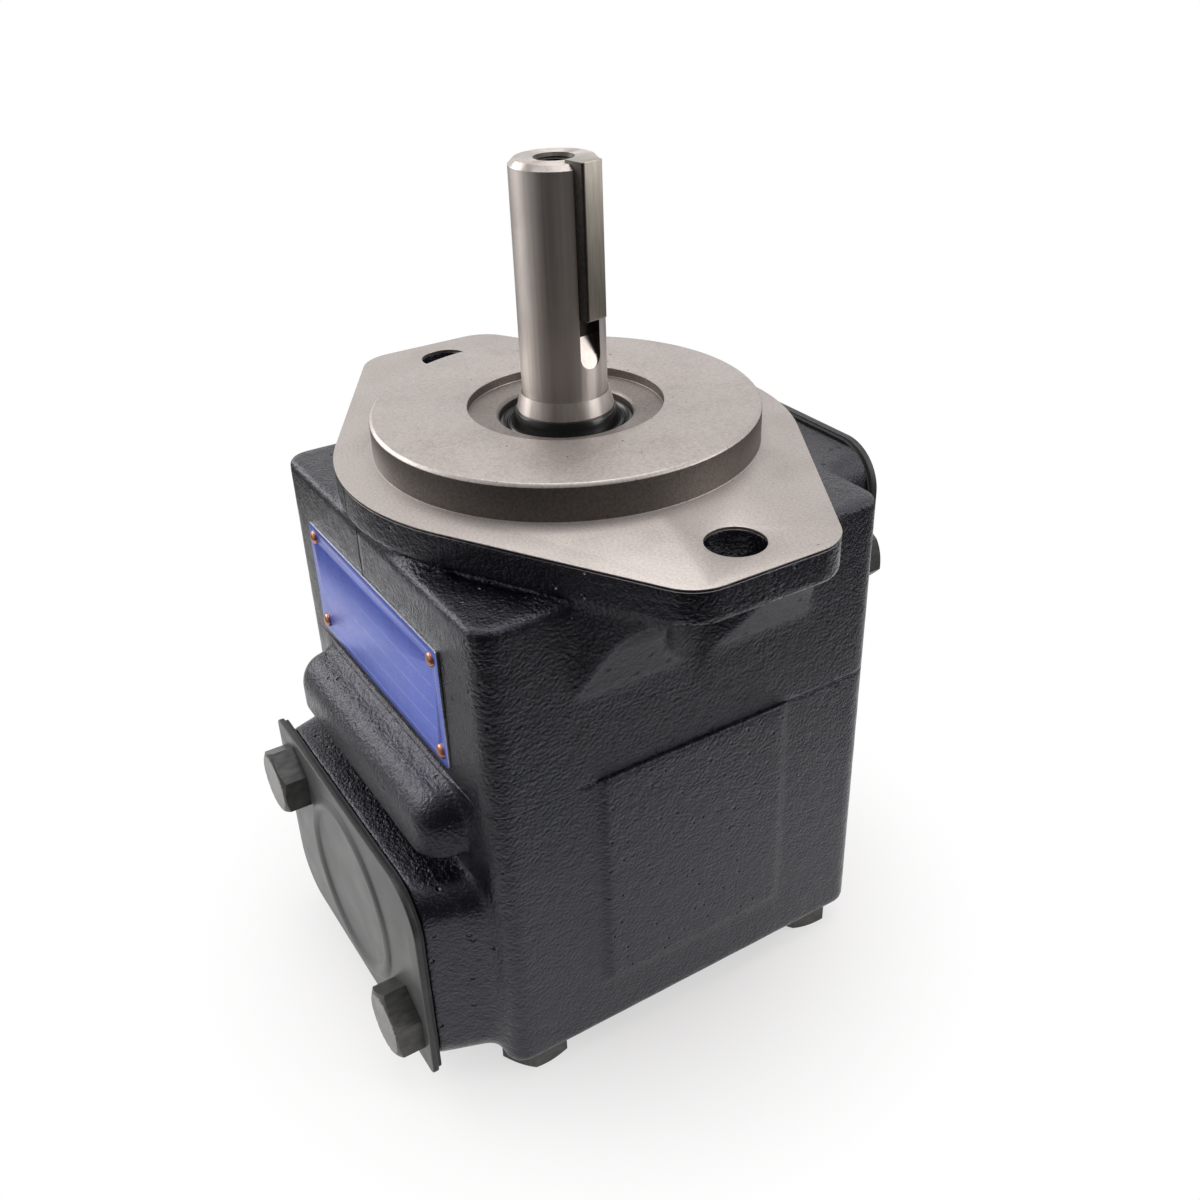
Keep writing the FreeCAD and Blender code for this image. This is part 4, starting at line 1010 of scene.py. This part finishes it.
# A closed ring from a closed section of (radius, level) pairs in millimetres
def turnedRing(name, section, segments):
    angles = np.linspace(0, 2 * math.pi, segments, endpoint=False)
    points = [(r * mm * math.cos(a), r * mm * math.sin(a), z * mm) for a in angles for r, z in section]
    count = len(section)
    faces = []
    for i in range(segments):
        j = (i + 1) % segments
        for k in range(count):
            n = (k + 1) % count
            faces.append((i * count + k, j * count + k, j * count + n, i * count + n))
    mesh = bpy.data.meshes.new(name)
    mesh.from_pydata(points, [], faces)
    with editing(mesh) as form:
        bmesh.ops.recalc_face_normals(form, faces=form.faces)
    return newPiece(name, mesh)


# The seal as it looks: pressed rim, two low ridges and a dust lip that rises to the shaft's cone
sealSection = [
    (17.0, -2.0), (17.5, -1.5), (17.5, 4.7), (17.2, 5.0), (16.5, 5.0), (16.2, 4.5), (15.9, 4.3),
    (15.6, 4.5), (15.35, 4.95), (15.1, 5.05), (14.85, 4.9), (14.65, 4.5), (14.4, 4.6), (14.1, 5.2),
    (13.6, 6.6), (13.25, 7.9), (13.0, 8.3), (12.75, 8.3), (12.6, 8.0), (12.6, 6.4), (13.1, 5.0),
    (14.3, 3.0), (14.3, 1.8), (12.56, 0.3), (13.1, -0.9), (13.7, -1.7), (14.2, -1.7), (14.7, 2.6),
    (16.4, 2.6), (16.4, -2.0)]

# Thread ridges in the shaft's tapped end, 1.5 mm apart
threadSection = [(4.25, 69.6)] + [(r, z - 1.5 * i) for i in range(8) for r, z in
                                  ((3.6, 69.4), (3.6, 69.2), (4.2, 68.5), (4.2, 68.3))]
threadSection += [(4.25, 57.4), (4.3, 57.4), (4.3, 69.6)]

for node, values in crispPieces.items():
    piece = mergedCopy(node, values["name"])
    if node == "drive_shaft":
        reshapeShaft(piece)
    dissolveFlat(piece)
    roundEdges(piece, values["edge"], values["segments"])
    finish = finishes[slotOf[node]]
    if node in secondFinish:
        second, chosen = secondFinish[node]
        paintFaces(piece, (finish, second), chosen)
    shade(piece, values.get("smooth", 24.0))
    finishPiece(piece, finish, slotOf[node], bodyOf[node], node)

seal = turnedRing("shaftSeal", sealSection, 144)
shade(seal, 40.0)
finishPiece(seal, finishes["seal_rubber"], slotOf["shaft_seal"], bodyOf["shaft_seal"], "shaft_seal")
thread = turnedRing("tapThread", threadSection, 64)
shade(thread, 30.0)
# The thread takes the tapped hole's painted shade
finishPiece(thread, paintedShadeSteel, slotOf["drive_shaft"], bodyOf["drive_shaft"])
print("plates and shaft pieces done")


# Every CAD node that stays gets its slot's finish

for name, node in nodes.items():
    if not node.hide_render:
        node.data.materials.clear()
        node.data.materials.append(finishes[slotOf[name]])
print("inner nodes dressed")


# Floor, world, lamps and camera

stage = {
    "floorRadius": 0.36,
    "floorColour": (0.84, 0.79, 0.77),
    "whiteShare": 0.57,
    "fade": (0.06, 0.125),
    "sheetMiddle": (-0.08, 0.04, 0.0),
    "sheetRim": (0.24, 0.29),
    "worldFill": 0.34,
    "ceiling": 0.35,
    "ceilingRise": (0.5, 0.9),
    "room": 0.1,
    "roomRise": (-0.25, -0.02),
    "darkSide": (0.87, -0.5, 0.0),
    "darkSpread": (0.2, 0.75),
    "shade": 0.12,
    "aim": (0.0, 0.0, -0.04),
}


# White round the object in the picture, paper near it, and a dark room past the sheet's rim in
# reflections
def makeFloor():
    mesh = bpy.data.meshes.new("floor")
    with editing(mesh) as form:
        bmesh.ops.create_circle(form, cap_ends=True, segments=96, radius=stage["floorRadius"])
        middle = Vector(stage["sheetMiddle"]) + Vector((0, 0, cadBox[0].z))
        bmesh.ops.translate(form, verts=form.verts, vec=middle)
    newPiece("floor", mesh)
    material, tree, place = startMaterial("paleFloor")
    flat = put(tree, "ShaderNodeVectorMath", {0: place, 1: (1.0, 1.0, 0.0)}, operation="MULTIPLY").outputs[0]
    distance = put(tree, "ShaderNodeVectorMath", {0: flat}, operation="LENGTH").outputs["Value"]
    white = ramp(tree, distance, *stage["fade"], stage["whiteShare"], 1.0)
    path = put(tree, "ShaderNodeLightPath").outputs
    mirrored = calculate(tree, "MAXIMUM", path["Is Glossy Ray"], path["Is Transmission Ray"])
    shown = calculate(tree, "MAXIMUM", path["Is Camera Ray"], mirrored)
    offset = put(tree, "ShaderNodeVectorMath", {0: flat, 1: stage["sheetMiddle"]}, operation="DISTANCE")
    rim = ramp(tree, offset.outputs["Value"], *stage["sheetRim"])
    pastRim = calculate(tree, "MULTIPLY", rim, mirrored)
    share = calculate(tree, "MULTIPLY", calculate(tree, "MULTIPLY", white, shown),
                      calculate(tree, "SUBTRACT", 1.0, pastRim))
    paper = put(tree, "ShaderNodeBsdfDiffuse", {
        "Color": blendColours(tree, pastRim, stage["floorColour"], (stage["room"],) * 3)})
    glow = put(tree, "ShaderNodeEmission", {"Color": (1, 1, 1, 1), "Strength": 1.0})
    mix = put(tree, "ShaderNodeMixShader", {0: share, 1: paper.outputs[0], 2: glow.outputs[0]})
    put(tree, "ShaderNodeOutputMaterial", {0: mix.outputs[0]})
    mesh.materials.append(material)


def makeWorld():
    world = bpy.data.worlds.new("studio")
    scene.world = world
    world.use_nodes = True
    tree = world.node_tree
    tree.nodes.clear()
    direction = put(tree, "ShaderNodeTexCoord").outputs["Generated"]
    rise = partsOf(tree, direction)[2]
    above = ramp(tree, rise, *stage["ceilingRise"], 1.0, stage["ceiling"])
    below = ramp(tree, rise, *stage["roomRise"], stage["room"], 1.0)
    aside = put(tree, "ShaderNodeVectorMath", {0: direction, 1: stage["darkSide"]}, operation="DOT_PRODUCT")
    aside = ramp(tree, aside.outputs["Value"], *stage["darkSpread"], 1.0, stage["shade"])
    horizon = calculate(tree, "MULTIPLY", calculate(tree, "MULTIPLY", above, below), aside)
    path = put(tree, "ShaderNodeLightPath").outputs
    mirrored = calculate(tree, "MAXIMUM", path["Is Glossy Ray"], path["Is Transmission Ray"])
    seen = put(tree, "ShaderNodeMix", {0: mirrored, 2: stage["worldFill"], 3: horizon})
    seen = put(tree, "ShaderNodeMix", {0: path["Is Camera Ray"], 2: seen.outputs[0], 3: 1.0})
    background = put(tree, "ShaderNodeBackground", {"Color": (1, 1, 1, 1), "Strength": seen.outputs[0]})
    put(tree, "ShaderNodeOutputWorld", {0: background.outputs[0]})


lamps = {
    "overhead": {"place": (-0.1, 0.15, 0.95), "size": (0.9, 0.7), "power": 7.4},
    "window": {"place": (-0.79, -0.53, 0.44), "size": (0.7, 0.52), "power": 6.0},
    "right": {"place": (0.6, 0.62, 0.42), "size": (0.4, 0.45), "power": 2.6},
}


def placeItem(name, data, place, turn):
    item = newPiece(name, data)
    item.location = place
    item.rotation_mode = "QUATERNION"
    item.rotation_quaternion = turn
    return item


def makeLamps():
    for name, values in lamps.items():
        lamp = bpy.data.lights.new(name, "AREA")
        lamp.shape = "RECTANGLE"
        lamp.size, lamp.size_y = values["size"]
        lamp.energy = values["power"]
        toAim = Vector(stage["aim"]) - Vector(values["place"])
        placeItem(name, lamp, values["place"], toAim.to_track_quat("-Z", "Y"))


view = {
    "place": (0.26873, -0.15268, 0.13291),
    "turn": (0.764116, 0.425295, 0.251512, 0.414719),
    "lens": 37.942,
}


def makeCamera():
    lens = bpy.data.cameras.new("camera")
    lens.lens = view["lens"]
    lens.sensor_width = 36.0
    lens.clip_start, lens.clip_end = 0.01, 20.0
    scene.camera = placeItem("camera", lens, view["place"], Quaternion(view["turn"]))


makeFloor()
makeWorld()
makeLamps()
makeCamera()
scene.view_settings.view_transform = "Standard"
print("stage ready")
